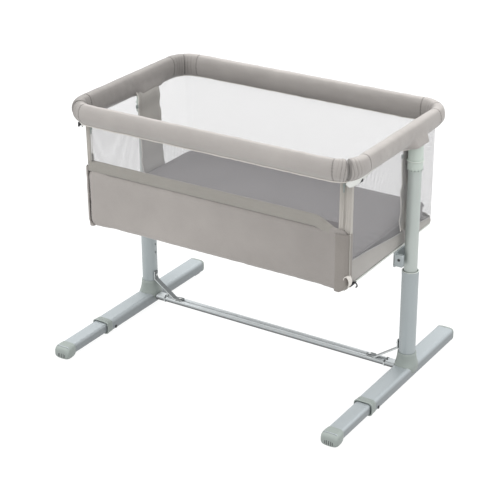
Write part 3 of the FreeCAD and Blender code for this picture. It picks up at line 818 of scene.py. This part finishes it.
def swell(piece, pressure, pinned, frames, cap):
    """Blows a closed cloth form up a little, holding its pinned points, and applies the result."""
    rest = np.array([v.co for v in piece.data.vertices])
    group = piece.vertex_groups.new(name="held")
    group.add([i for i, co in enumerate(rest) if pinned(Vector(co))], 1.0, "REPLACE")
    cloth = piece.modifiers.new("cloth", "CLOTH")
    for key, setting in dict(
        quality=5, mass=0.3, tension_stiffness=25, compression_stiffness=12, shear_stiffness=8,
        bending_stiffness=0.4, use_pressure=True, uniform_pressure_force=pressure, shrink_min=-0.01,
        vertex_group_mass="held",
    ).items():
        setattr(cloth.settings, key, setting)
    cloth.settings.effector_weights.gravity = 0
    cloth.collision_settings.use_collision = False
    cloth.collision_settings.use_self_collision = False
    scene = bpy.context.scene
    cloth.point_cache.frame_start, cloth.point_cache.frame_end = 1, frames
    for number in range(1, frames + 1):
        scene.frame_set(number)
    bpy.context.view_layer.update()
    solved = piece.evaluated_get(bpy.context.evaluated_depsgraph_get())
    moved = np.array([v.co for v in solved.data.vertices])
    offset = moved - rest
    size = np.linalg.norm(offset, axis=1, keepdims=True)
    offset *= np.minimum(1, cap / np.maximum(size, 1e-9))
    piece.modifiers.remove(cloth)
    piece.vertex_groups.remove(group)
    piece.data.vertices.foreach_set("co", (rest + offset).reshape(-1))
    piece.data.update()
    scene.frame_set(1)


def slab(name, low, high, rounding, step, axes=(0, 1, 2)):
    """A closed slab with round corners in plan, as a grid that cloth can solve.

    axes gives which frame axis is the slab's width, length and thickness.
    """
    half = [(high[a] - low[a]) / 2 for a in axes]
    middle = [(high[a] + low[a]) / 2 for a in axes]
    us, vs = spaced(-half[0], half[0], step), spaced(-half[1], half[1], step)

    def rounded(u, v):
        core_u, core_v = half[0] - rounding, half[1] - rounding
        du, dv = abs(u) - core_u, abs(v) - core_v
        if du > 0 and dv > 0:
            reach = max(du, dv) / max(1e-9, math.hypot(du, dv))
            u = math.copysign(core_u + du * reach, u)
            v = math.copysign(core_v + dv * reach, v)
        return u, v

    def place(u, v, w):
        u, v = rounded(u, v)
        local = dict(zip(axes, (u + middle[0], v + middle[1], w + middle[2])))
        return Vector((local[0], local[1], local[2]))

    rows, cols = len(us), len(vs)
    rim_steps = max(2, int(2 * half[2] / step))
    points = [place(u, v, w) for w in (half[2], -half[2]) for u in us for v in vs]
    count = rows * cols
    faces = []
    for i in range(rows - 1):
        for j in range(cols - 1):
            quad = (i * cols + j, (i + 1) * cols + j, (i + 1) * cols + j + 1, i * cols + j + 1)
            faces += [quad, tuple(count + k for k in reversed(quad))]
    edge = (
        [i * cols for i in range(rows)] + [(rows - 1) * cols + j for j in range(1, cols)]
        + [i * cols + cols - 1 for i in range(rows - 2, -1, -1)] + [j for j in range(cols - 2, 0, -1)]
    )
    rings = [edge]
    for step_number in range(1, rim_steps):
        w = half[2] - 2 * half[2] * step_number / rim_steps
        ring = []
        for index in edge:
            i, j = divmod(index, cols)
            ring.append(len(points))
            points.append(place(us[i], vs[j], w))
        rings.append(ring)
    rings.append([count + index for index in edge])
    for first, second in zip(rings, rings[1:]):
        for k in range(len(edge)):
            n = (k + 1) % len(edge)
            faces.append((first[n], first[k], second[k], second[n]))
    return outward(mesh_piece(name, points, faces))


def make_mattress():
    """The mattress, swollen on top and piped round both edges."""
    low, high = MATTRESS
    seat = Vector((low.x + 0.003, low.y + 0.003, low.z + 0.002))
    crown = Vector((high.x - 0.003, high.y - 0.003, high.z - 0.004))
    corner, margin = 0.030, 0.004
    piece = slab("mattress_pad", seat, crown, corner, 9 * MM)

    def on_outline(co):
        return abs(co.x) > crown.x - margin or not seat.y + margin < co.y < crown.y - margin

    swell(piece, 3.0, lambda co: co.z < low.z + 0.012 or on_outline(co), 18, 7 * MM)
    smoothed(piece)
    dress(piece, MATTRESS_CLOTH, "base", "mattress_fabric", ("mattress",))
    for name, z in (("mattress_piping_top", crown.z - margin), ("mattress_piping_low", low.z + margin)):
        line = rounded_outline(seat, crown, corner, 0.0015)
        piping = tube(name, [Vector((p.x, p.y, z)) for p in line], 1.8 * MM, closed=True)
        dress(piping, MATTRESS_CLOTH, "base", "mattress_fabric")


def rounded_outline(low, high, radius, out, steps=8):
    """A rectangle's outline in plan with round corners, pushed out a little."""
    points = []
    centres = (
        (high.x - radius, high.y - radius, 0), (low.x + radius, high.y - radius, 90),
        (low.x + radius, low.y + radius, 180), (high.x - radius, low.y + radius, 270),
    )
    for x, y, start in centres:
        for k in range(steps + 1):
            angle = math.radians(start + 90 * k / steps)
            points.append(Vector((
                x + (radius + out) * math.cos(angle), y + (radius + out) * math.sin(angle), 0,
            )))
    return points


def make_low_wall():
    """The padded front wall: a swollen panel, a soft hem rolled over its top, and corner pieces."""
    low, high = LOW_WALL
    fold, inset, rounding = high.z - 0.020, 0.0015, 0.022
    lower = Vector((low.x + inset, low.y + 0.003, low.z + inset))
    upper = Vector((high.x - inset, high.y - 0.002, fold))
    piece = slab("low_wall_pad", lower, upper, rounding, 7 * MM, axes=(0, 2, 1))
    swell(piece, 2.0, lambda co: co.y > high.y - 0.004, 16, 5 * MM)
    smoothed(piece)
    dress(piece, PANEL_CLOTH, "base", "taupe_fabric", ("front_low_wall",))

    us = spaced(low.x + 0.003, high.x - 0.012, 6 * MM)
    profile = [
        (low.y + 0.0020, -0.005), (low.y + 0.0002, -0.001), (low.y + 0.0012, 0.006),
        (low.y + 0.0040, 0.012), (low.y + 0.0080, 0.018), (high.y - 0.0010, 0.0215),
        (high.y + 0.0012, 0.018), (high.y + 0.0012, -0.008),
    ]

    def hem(u, v):
        k = min(int(v), len(profile) - 2)
        t = v - k
        y = profile[k][0] * (1 - t) + profile[k + 1][0] * t
        rise = profile[k][1] * (1 - t) + profile[k + 1][1] * t
        dip = smoothstep(0.315, 0.392, u)
        ripples = 0.0008 * wobble((u, 0, v * 0.02), 0.05, 6) + 0.0016 * dip * math.sin(TAU * u / 0.021)
        return Vector((u, y - ripples - 0.001 * dip, fold + rise + ripples - 0.027 * dip))

    roll = surface("low_wall_hem", us, [k / 3 for k in range(3 * len(profile) - 2)], hem)
    scale_uvs(roll, along=0.006)
    thicken(roll, 1.4 * MM, offset=-1)
    dress(roll, HEM_CLOTH, "base", "hem_fabric")

    for side, sign in SIDES:
        edge_x = WALL_X + 0.003
        inner = edge_x - (0.038 if sign > 0 else 0.006)
        top = high.z - (0.029 if sign > 0 else 0.012)
        bottom = low.z + 0.002

        def corner_piece(u, v, sign=sign, edge_x=edge_x, inner=inner, top=top, bottom=bottom):
            z = bottom + (top - bottom) * v
            x = inner + (edge_x - inner) * min(1.0, u)
            round_off = 0.020 * max(0.0, 1 - v * (top - bottom) / 0.022) ** 2
            y = low.y - 0.0018 + 0.010 * smoothstep(0.72, 1.0, u) ** 2 + 0.014 * max(0.0, u - 1.0) / 0.35
            lift = 0.0010 * wobble((x, 0, z), 0.03, 7) + 0.0012 * math.sin(math.pi * min(1, u))
            y += 0.0018 * math.exp(-((u - 0.02) / 0.03) ** 2)
            return Vector((sign * (x - round_off * min(1, u)), y - lift, z))

        around = list(np.linspace(0, 1.35, 28))
        piece = surface(f"{side}_corner_piece", around, shares(40), corner_piece)
        scale_uvs(piece, 0.038, top - bottom)
        thicken(piece, 1.2 * MM)
        dress(piece, CORNER_CLOTH if sign > 0 else PANEL_CLOTH, "base", "taupe_fabric")
        line = [corner_piece(1.0, v) + Vector((sign * 0.0012, -0.0012, 0)) for v in np.linspace(0.02, 1, 30)]
        dress(tube(f"{side}_wall_piping", line, 1.5 * MM), TAPE_CLOTH, "base", "taupe_fabric")


# --- Tray, corners, zips and straps ---

def make_tray():
    """The coated cloth pan, its bound top seam and the stiff edge strip under it."""
    low, high = TRAY
    floor_z = low.z + 0.002
    outline = []
    for spot in rounded_outline(low, high, 0.012, 0.0, steps=5):
        outline.append(Vector((math.copysign(abs(spot.x) - rear_round(spot.y), spot.x), spot.y, 0)))
    outline.append(outline[0].copy())
    lengths = [0.0]
    for first, second in zip(outline, outline[1:]):
        lengths.append(lengths[-1] + (second - first).length)
    stations = spaced(0, lengths[-1], 6 * MM)

    def plan(s):
        k = max(i for i in range(len(lengths) - 1) if lengths[i] <= s + 1e-9)
        t = (s - lengths[k]) / max(1e-9, lengths[k + 1] - lengths[k])
        return outline[k].lerp(outline[k + 1], min(1, t))

    def top_at(place):
        seam = seam_height(place.y)
        return seam if abs(place.x) > high.x - 0.02 else min(SEAM_Z, seam + 0.003)

    def wall(s, v):
        base = plan(s)
        out = Vector((base.x / abs(base.x) if abs(base.x) > high.x - 0.02 else 0,
                      base.y / abs(base.y) if abs(base.x) < high.x - 0.012 else 0, 0)).normalized()
        top = top_at(base)
        z = top + (floor_z - top) * v
        belly = 0.0030 * math.sin(math.pi * v) + 0.0014 * wobble((base.x, base.y, z), 0.06, 8)
        tuck = -0.003 * max(0.0, v - 0.85) / 0.15
        return Vector((base.x, base.y, z)) + out * (belly + tuck)

    side = surface("tray_wall", stations, spaced(0, 1, 1 / 14), wall)
    scale_uvs(side, along=high.z - low.z)
    dress(side, TRAY_CLOTH, "base", "tray_fabric", ("tray",))
    xs, ys = spaced(low.x + 0.003, high.x - 0.003, 12 * MM), spaced(low.y + 0.003, high.y - 0.003, 12 * MM)

    def pan(x, y):
        return Vector((x, y, floor_z + 0.0012 * wobble((x, y, 0), 0.11, 9)))

    dress(surface("tray_floor", xs, ys, pan), TRAY_CLOTH, "base", "tray_fabric")
    seam = [wall(s, 0.0) for s in stations[:-1]]
    dress(tube("tray_seam_piping", seam, 1.3 * MM, closed=True), TRAY_CLOTH, "base", "tray_fabric")
    edge = [Vector((p.x, p.y, floor_z)) for p in (plan(s) for s in stations[:-1])]
    dress(tube("tray_edge_strip", edge, 1.9 * MM, closed=True), PALE_PLASTIC, "base", "tray_fabric")


def make_yokes():
    """The forked brackets under the tray that steady it against the posts."""
    low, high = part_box("base_brackets")
    for side, sign in SIDES:
        def span(near, far, front, rear, bottom, top, bevel=1.5 * MM, sign=sign, side=side):
            x_low, x_high = sorted((sign * near, sign * far))
            return block(f"{side}_part", (x_low, front, bottom), (x_high, rear, top), bevel)

        root, reach, plate, arm = 0.4135, high.x, 0.0055, 0.014
        parts = [
            span(root, root + plate, low.y, high.y, low.z, high.z - 0.002),
            span(root, reach, low.y, low.y + arm, low.z + 0.004, high.z - 0.008),
            span(root, reach, high.y - arm, high.y, low.z + 0.004, high.z - 0.008),
        ]
        extra = {"stands_for": ("base_brackets",)} if sign > 0 else {}
        dress(joined(f"{side}_yoke", parts), METAL, "base", "grey_plastic", **extra)
        # A dark disc on the bracket's front stands for its hole: painted shade where the hole is.
        hole = Vector((sign * (root + 0.017), low.y - 0.0006, (low.z + high.z) / 2 + 0.002))
        hole_shade = tube(f"{side}_yoke_hole", [hole, hole + Vector((0, 0.004, 0))], 4.2 * MM, 16)
        dress(hole_shade, DARK_PLASTIC, "base", "dark_plastic")


def make_corners():
    """The gathered zip strips at the front corners, with teeth, sliders and latches."""
    for side, sign in SIDES:
        inner = FRONT_NET_RIGHT - 0.003 if sign > 0 else 0.4125
        outer = WALL_X + 0.0035
        us = spaced(inner, outer + 0.010, 1.0 * MM)
        low_z = LOW_WALL[1].z - (0.034 if sign > 0 else 0.012)
        vs = spaced(low_z, NET_TOP + 0.006, 5 * MM)

        def strip(u, v, sign=sign, outer=outer, low_z=low_z):
            rise = (v - low_z) / (NET_TOP + 0.006 - low_z)
            drift = 0.004 * wobble((0, 0, v), 0.10, 3)
            pleat = 0.0026 * abs(math.sin(math.pi * (u + drift) / 0.0085)) ** 0.7
            pleat *= 1 - smoothstep(outer - 0.004, outer, u)
            x, y = min(u, outer), WALL_FRONT - 0.0045 + pleat + max(0.0, u - outer)
            if u > outer:
                x -= 0.0008 * math.sin(math.pi * (u - outer) / 0.010)
            return Vector((sign * (x + 0.0015 * rise), y, v))

        piece = surface(f"{side}_corner_strip", us, vs, strip)
        thicken(piece, 0.8 * MM)
        dress(piece, ZIP_CLOTH, "rim", "taupe_fabric", (f"{side}_zip_tape",))

        slide_low, slide_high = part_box(f"{side}_zip_slider")
        x, y = (slide_low.x + slide_high.x) / 2, WALL_FRONT - 0.0052
        pitch, foot = 0.0026, 0.012
        teeth = []
        for k in range(int((NET_TOP - low_z - 0.02) / pitch)):
            tooth_x, z = x + 0.0008 * (1 if k % 2 else -1), low_z + foot + pitch * k
            teeth.append(around_point("tooth", (tooth_x, y, z), (0.0014, 0.0007, 0.0006), 0.2 * MM, 1))
        dress(joined(f"{side}_zip_teeth", teeth), COIL_PLASTIC, "rim", "dark_plastic")
        top = slide_high.z
        body = around_point("body", (x, y - 0.0017, top - 0.005), (0.0035, 0.0013, 0.005), 0.7 * MM)
        pull = around_point("pull", (x, y - 0.0035, top - 0.015), (0.0022, 0.0007, 0.009), 0.6 * MM)
        slider = joined(f"{side}_zip_pull", [body, pull])
        dress(slider, GREY_PLASTIC, f"{side}_slider", "dark_plastic", (f"{side}_zip_slider",))
        make_latch(side, sign)
    x, z = FRONT_NET_LEFT + 0.007, LOW_WALL[1].z + 0.012
    low, high = (x - 0.0022, WALL_FRONT - 0.0050, z - 0.013), (x + 0.0022, WALL_FRONT - 0.0015, z + 0.012)
    dress(block("net_zip_stop", low, high, 1 * MM), DARK_PLASTIC, "drop_side", "dark_plastic")


def make_latch(side, sign):
    """The drop side's latch under a front corner: a pale tapered flap and a dark button."""
    low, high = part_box(f"{side}_latch_button")
    x, y, z = (low + high) / 2
    button = around_point("button", (x, y, z - 0.00125), (0.0055, 0.0045, 0.00475), 2.2 * MM)
    stem = around_point("stem", (x, y - 0.0055, z - 0.0050), (0.0020, 0.0025, 0.0035), 0.8 * MM)
    latch = joined(f"{side}_latch", [button, stem])
    dress(latch, DARK_PLASTIC, f"{side}_latch", "dark_plastic", (f"{side}_latch_button",))

    near, far = 0.002, 0.140
    start, end = (RIM.split - near, RIM.split - far) if sign > 0 else (near, far)

    def flap(t, w):
        edge = sleeve_point(start + (end - start) * t, 0.82, 0.8 * MM)
        drop = 0.003 + 0.019 * (1 - t) ** 0.8 * smoothstep(-0.05, 0.10, t)
        inward = Vector((-sign, 0, 0)) * 0.006 * w
        crinkle = 0.0010 * math.sin(TAU * t * 11 + 3 * w) * w
        return edge + Vector((sign * crinkle, 0, -drop * w)) + inward

    piece = surface(f"{side}_latch_flap", shares(40), shares(7), flap)
    thicken(piece, 1.6 * MM)
    dress(piece, WHITE_PLASTIC, "rim", "grey_plastic")


def make_straps():
    """The bed strap under the tray, and its loop and hook at the right front corner."""
    low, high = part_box("bed_strap")
    us = spaced(low.x, high.x, 10 * MM)
    vs = spaced(low.y, high.y, 2.5 * MM)
    piece = surface(
        "strap_webbing", us, vs,
        lambda u, v: Vector((u, v, high.z - 0.0015 - 0.0010 * math.sin((u - low.x) * 9) ** 2)),
    )
    thicken(piece, 1.4 * MM)
    dress(piece, WEBBING, "base", "webbing", ("bed_strap",))

    hook_low, hook_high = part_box("strap_hook")
    front = LOW_WALL[0].y

    def loop(u, v):
        angle = math.radians(-60 + 250 * u)
        radius = 0.0120 - 0.002 * u
        x = WALL_X + 0.001 + radius * 0.85 * math.cos(angle)
        z = hook_low.z + 0.023 + radius * 1.4 * math.sin(angle)
        return Vector((x, front - 0.003 + 0.017 * v - 0.003 * math.sin(math.pi * u), z))

    fold = surface("corner_loop", shares(30), shares(8), loop)
    thicken(fold, 1.5 * MM)
    dress(fold, PIPING_CLOTH, "base", "webbing")
    path = []
    for k in range(25):
        angle = math.radians(200 - 290 * k / 24)
        path.append(Vector((
            hook_low.x + 0.006 + 0.0055 * math.cos(angle) + 0.006 * k / 24,
            hook_low.y + 0.008, hook_low.z + 0.006 + 0.0055 * math.sin(angle) - 0.003 * k / 24,
        )))
    bar = block("bar", (hook_low.x + 0.001, hook_low.y, hook_low.z + 0.001),
                (hook_low.x + 0.005, hook_high.y, hook_low.z + 0.006), 1.2 * MM)
    hook = joined("strap_end_hook", [tube("hook", path, 1.9 * MM, 12), bar])
    dress(hook, DARK_PLASTIC, "base", "dark_plastic", ("strap_hook",))


# --- The stand ---

def loft(name, sections, sides=48, caps=True):
    """A smooth skin through superellipse sections.

    A section is its centre, its two half-axis vectors and its squareness (2 is an ellipse).
    """
    def point(u, turn):
        centre, across, up, squareness = sections[int(u)]
        c, d = math.cos(TAU * turn), math.sin(TAU * turn)
        power = 2 / squareness
        return (
            Vector(centre) + Vector(across) * squared(c, power)
            + Vector(up) * squared(d, power)
        )

    return surface(name, list(range(len(sections))), turns(sides), point, around=1.0, caps=caps)


CASTING = (
    (0.0010, 0.0236, 0.0236, 2.0), (0.0000, 0.0248, 0.0248, 2.0), (0.0008, 0.0262, 0.0262, 2.0),
    (0.0080, 0.0268, 0.0268, 2.0), (0.0180, 0.0280, 0.0284, 2.0), (0.0260, 0.0294, 0.0306, 2.0),
    (0.0320, 0.0305, 0.0330, 2.05), (0.0360, 0.0310, 0.0352, 2.15), (0.0385, 0.0310, 0.0362, 2.3),
    (0.0420, 0.0305, 0.0362, 2.6), (0.0480, 0.0300, 0.0345, 2.9), (0.0540, 0.0296, 0.0310, 3.0),
    (0.0585, 0.0288, 0.0270, 3.0),
)


def make_base_casting(side):
    """The casting that flares from the post down over the foot tube like a saddle.

    A row of CASTING is the drop from the top, the half sizes along X and Y, and the squareness.
    """
    low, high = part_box(f"{side}_post_base")
    x, y = (low.x + high.x) / 2, (low.y + high.y) / 2
    sections = [((x, y, high.z - drop), (a, 0, 0), (0, b, 0), n) for drop, a, b, n in CASTING]
    piece = outward(loft(f"{side}_base_casting", sections, 64))
    dress(piece, GREY_PLASTIC, "stand", "grey_plastic", (f"{side}_post_base",))


def foot_loft(name, x, rows, sides=64, caps=True):
    """A skin along the foot; a row is Y, half width, half height, Z and squareness."""
    return loft(name, [((x, y, z), (a, 0, 0), (0, 0, b), n) for y, a, b, z, n in rows], sides, caps)


def make_foot_ends(side):
    """Toe cap, heel cap and the close-fitting gland of one foot."""
    low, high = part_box(f"{side}_toe_cap")
    x = (low.x + high.x) / 2
    toe = outward(foot_loft(f"{side}_toe", x, [
        (high.y + 0.0010, 0.0236, 0.0158, 0.0230, 4.2), (high.y + 0.0002, 0.0244, 0.0166, 0.0228, 4.2),
        (high.y - 0.004, 0.0256, 0.0180, 0.0212, 4.2), (high.y - 0.012, 0.0266, 0.0190, 0.0200, 4.2),
        (low.y + 0.013, 0.0270, 0.0190, 0.0196, 4.2), (low.y + 0.007, 0.0268, 0.0178, 0.0186, 3.8),
        (low.y + 0.003, 0.0258, 0.0156, 0.0168, 3.4), (low.y + 0.0008, 0.0240, 0.0130, 0.0150, 3.0),
        (low.y, 0.0214, 0.0105, 0.0136, 2.8),
    ]))
    dress(toe, GREY_PLASTIC, f"{side}_extension", "grey_plastic", (f"{side}_toe_cap",))
    # Dark blocks stand for the toe's grooves: painted shade where the grooves are.
    grooves = []
    for offset in (-0.0115, -0.0065, 0, 0.0065, 0.0115):
        tall = 0.0062 if abs(offset) < 0.01 else 0.0045
        middle, half = (x + offset, low.y + 0.0018, 0.01175), (0.0010, 0.0022, tall + 0.00025)
        grooves.append(around_point("groove", middle, half, 0.5 * MM, 2))
    dress(joined(f"{side}_toe_grooves", grooves), DARK_PLASTIC, f"{side}_extension", "grey_plastic")

    low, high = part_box(f"{side}_foot_tube")
    z, half, tall = (low.z + high.z) / 2, (high.x - low.x) / 2, (high.z - low.z) / 2
    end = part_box(f"{side}_heel_cap")[1].y
    heel = outward(foot_loft(f"{side}_heel", x, [
        (high.y - 0.0005, half - 0.0006, tall - 0.0006, z, 4.6),
        (high.y + 0.001, half + 0.0002, tall + 0.0002, z, 4.6), (end - 0.009, half, tall, z, 4.4),
        (end - 0.0045, half - 0.0022, tall - 0.0016, z, 4.0),
        (end - 0.0015, half - 0.0060, tall - 0.0045, z, 3.6), (end, half - 0.0110, tall - 0.0085, z, 3.2),
    ]))
    dress(heel, GREY_PLASTIC, "stand", "grey_plastic", (f"{side}_heel_cap",))
    pad = around_point(f"{side}_heel_pad", (x, high.y - 0.017, 0.0025), (0.018, 0.013, 0.0025), 1.5 * MM)
    dress(pad, DARK_PLASTIC, "stand", "grey_plastic")

    front, rear = (corner.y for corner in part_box(f"{side}_foot_gland"))
    squareness = 4.6
    gland = foot_loft(f"{side}_gland", x, [(y, a, b, z, squareness) for y, a, b in (
        (rear, half + 0.0001, tall + 0.0001), (rear - 0.0006, half + 0.0006, tall + 0.0006),
        (front + 0.0040, half + 0.0009, tall + 0.0009), (front + 0.0034, half + 0.0017, tall + 0.0015),
        (front + 0.0008, half + 0.0017, tall + 0.0015), (front, half + 0.0008, tall + 0.0006),
        (front + 0.0002, 0.0252, 0.0172), (front + 0.0080, 0.0246, 0.0166),
    )], 72, caps=False)
    dress(gland, GREY_PLASTIC, "stand", "grey_plastic", (f"{side}_foot_gland",))
    # A dark ring inside the gland's lip closes the gap round the extension: painted shade in the gap.
    mouth = foot_loft(f"{side}_gland_mouth", x, [
        (front + 0.0040, 0.0250, 0.0170, z, squareness), (front + 0.0045, 0.0225, 0.0148, z, squareness),
    ], 48, caps=False)
    dress(mouth, DARK_PLASTIC, "stand", "grey_plastic")


def ring(name, x, y, z, radius, thick, steps=64):
    line = [Vector((x + radius * math.cos(TAU * k / steps), y + radius * math.sin(TAU * k / steps), z))
            for k in range(steps)]
    return tube(name, line, thick, closed=True)


def make_post_rings(side, sign):
    """The pale lips above the release collar and at the mouth of the lower post, and grip bumps."""
    x, y = sign * POST_X, POST_Y
    lip = ring(f"{side}_head_lip", x, y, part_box(f"{side}_post_head")[0].z + 0.0016, 0.0228, 1.3 * MM)
    dress(lip, PALE_PLASTIC, f"{side}_post", "grey_plastic")
    collar_low, collar_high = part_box(f"{side}_height_collar")
    bumps = []
    radius = (collar_high.x - collar_low.x) / 2
    for k in range(14):
        angle = TAU * (k + 0.5) / 14
        place = Vector((x + radius * math.cos(angle), y + radius * math.sin(angle), collar_low.z + 0.0035))
        bumps.append(around_point("bump", place, (0.0018, 0.0018, 0.0022), 1.6 * MM))
    dress(joined(f"{side}_collar_bumps", bumps), GREY_PLASTIC, f"{side}_collar", "grey_plastic")
    mouth = ring(f"{side}_post_mouth", x, y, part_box(f"{side}_post_ring")[1].z - 0.0004, 0.0222, 1.5 * MM)
    dress(mouth, PALE_PLASTIC, "stand", "grey_plastic")


def make_crossbar_ends(side, sign):
    """Formed tube ends with a flat tie plate, a joint ring, and the clevis at the brace's foot."""
    low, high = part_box(f"{side}_crossbar_bracket")
    front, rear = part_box("crossbar_front_tube"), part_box("crossbar_rear_tube")
    z = (front[0].z + front[1].z) / 2
    radius = (front[1].z - front[0].z) / 2
    outer = max(abs(low.x), abs(high.x))
    fittings, rings = [], []
    for tube_box in (front, rear):
        y = (tube_box[0].y + tube_box[1].y) / 2
        line = [Vector((sign * x, y, z)) for x in (outer - 0.030, outer - 0.015, outer)]
        fittings.append(tube("end", line, radius + 0.0007, 16))
        line = [Vector((sign * x, y, z)) for x in (outer - 0.0345, outer - 0.0305)]
        rings.append(tube("ring", line, radius + 0.0015, 16))
    y_low, y_high = (front[0].y + front[1].y) / 2, (rear[0].y + rear[1].y) / 2
    x_low, x_high = sorted((sign * (outer - 0.026), sign * outer))
    fittings.append(block("tie", (x_low, y_low, z + 0.004), (x_high, y_high, z + 0.0078), 1.0 * MM))
    fitting = joined(f"{side}_bar_end", fittings)
    dress(fitting, LIGHT_METAL, "stand", "grey_plastic", (f"{side}_crossbar_bracket",))
    dress(joined(f"{side}_bar_ring", rings), DARK_METAL, "stand", "steel")
    brace_low, brace_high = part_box(f"{side}_brace")
    foot = brace_low.x + 0.014 if sign > 0 else brace_high.x - 0.014
    saddle = block(f"{side}_brace_saddle", (foot - 0.009, brace_low.y - 0.003, z - 0.001),
                   (foot + 0.009, brace_high.y + 0.008, z + radius + 0.0012), 1.0 * MM)
    dress(saddle, DARK_METAL, "stand", "steel")


def finish_stand():
    """Gives every CAD node that still shows its own finish."""
    for side, sign in SIDES:
        make_base_casting(side)
        make_foot_ends(side)
        make_post_rings(side, sign)
        make_crossbar_ends(side, sign)
    finishes = {
        "foot_tube": FOOT_METAL, "foot_extension": FOOT_METAL, "lower_post": METAL, "upper_post": POST_METAL,
        "post_head": HEAD_PLASTIC, "height_collar": HEAD_PLASTIC,
        "post_ring": METAL, "base_brackets": METAL,
        "crossbar_front_tube": LIGHT_METAL, "crossbar_rear_tube": LIGHT_METAL, "brace_screws": ZINC,
        "brace": DARK_METAL, "lock_pin": ZINC, "rail_tube": METAL, "base_front_tube": METAL,
        "base_rear_tube": METAL, "mattress_board": BOARD, "foot_button": DARK_PLASTIC,
    }
    for name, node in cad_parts.items():
        if node.hide_render:
            continue
        plain = name.replace("left_", "").replace("right_", "").replace("front_rail", "rail")
        material = finishes.get(plain, GREY_PLASTIC)
        node.data.materials.clear()
        node.data.materials.append(material)


# --- Stage, light and camera ---

def make_stage():
    """A floor that glows almost white, a sky that brightens upwards, and two soft lamps."""
    reach, grey, white = 9, (0.15, 0.15, 0.15, 1), (1, 1, 1, 1)
    corners = [(-reach, -reach, 0), (reach, -reach, 0), (reach, reach, 0), (-reach, reach, 0)]
    floor = mesh_piece("floor", corners, [(0, 1, 2, 3)])
    shader = Shader("pale_floor", Roughness=0.95, Specular_IOR_Level=0.0, Emission_Strength=0.93)
    shader.bsdf.inputs["Base Color"].default_value = grey
    shader.bsdf.inputs["Emission Color"].default_value = white
    floor.data.materials.append(shader.material)

    world = bpy.data.worlds.new("studio")
    bpy.context.scene.world = world
    world.use_nodes = True
    tree = world.node_tree
    place = tree.nodes.new("ShaderNodeTexCoord")
    split = tree.nodes.new("ShaderNodeSeparateXYZ")
    dome = tree.nodes.new("ShaderNodeMath")
    dome.operation = "POWER"
    dome.inputs[1].default_value = 3.0
    dome.use_clamp = True
    rise = tree.nodes.new("ShaderNodeMapRange")
    tree.links.new(place.outputs["Generated"], split.inputs[0])
    tree.links.new(split.outputs["Z"], dome.inputs[0])
    tree.links.new(dome.outputs[0], rise.inputs["Value"])
    horizon, zenith = 1.0, 2.25
    rise.inputs["To Min"].default_value, rise.inputs["To Max"].default_value = horizon, zenith
    background = tree.nodes["Background"]
    background.inputs["Color"].default_value = white
    tree.links.new(rise.outputs[0], background.inputs["Strength"])

    basket_middle = Vector((0, 0, 0.45))
    for name, place, size, power in (
        ("key", (-1.8, -1.8, 2.9), 1.8, 15), ("back", (-0.5, 2.4, 3.1), 2.2, 8),
    ):
        light = bpy.data.lights.new(name, "AREA")
        light.energy = power
        light.size = size
        lamp = make_object(name, light)
        lamp.location = place
        lamp.rotation_euler = (basket_middle - Vector(place)).to_track_quat("-Z", "Y").to_euler()


def make_camera():
    """The product view: three-quarter from the front right, slightly above."""
    azimuth, elevation, roll = math.radians(32.54), math.radians(24.84), math.radians(-0.315)
    camera = bpy.data.cameras.new("camera")
    camera.lens = 106.2
    camera.sensor_width = 36
    camera.clip_end = 50
    eye = make_object("camera", camera)
    level = math.cos(elevation)
    look = Vector((-math.sin(azimuth) * level, math.cos(azimuth) * level, -math.sin(elevation)))
    aim = look.to_track_quat("-Z", "Y").to_matrix()
    eye.rotation_euler = (aim @ Matrix.Rotation(roll, 3, "Z")).to_euler()
    eye.location = (2.046, -3.238, 2.093)
    bpy.context.scene.camera = eye
    bpy.context.scene.view_settings.view_transform = "Standard"


make_camera()
make_stage()
make_rim()
make_net_walls()
make_front_net()
make_post_covers()
make_mattress()
make_low_wall()
make_tray()
make_yokes()
make_corners()
make_straps()
finish_stand()
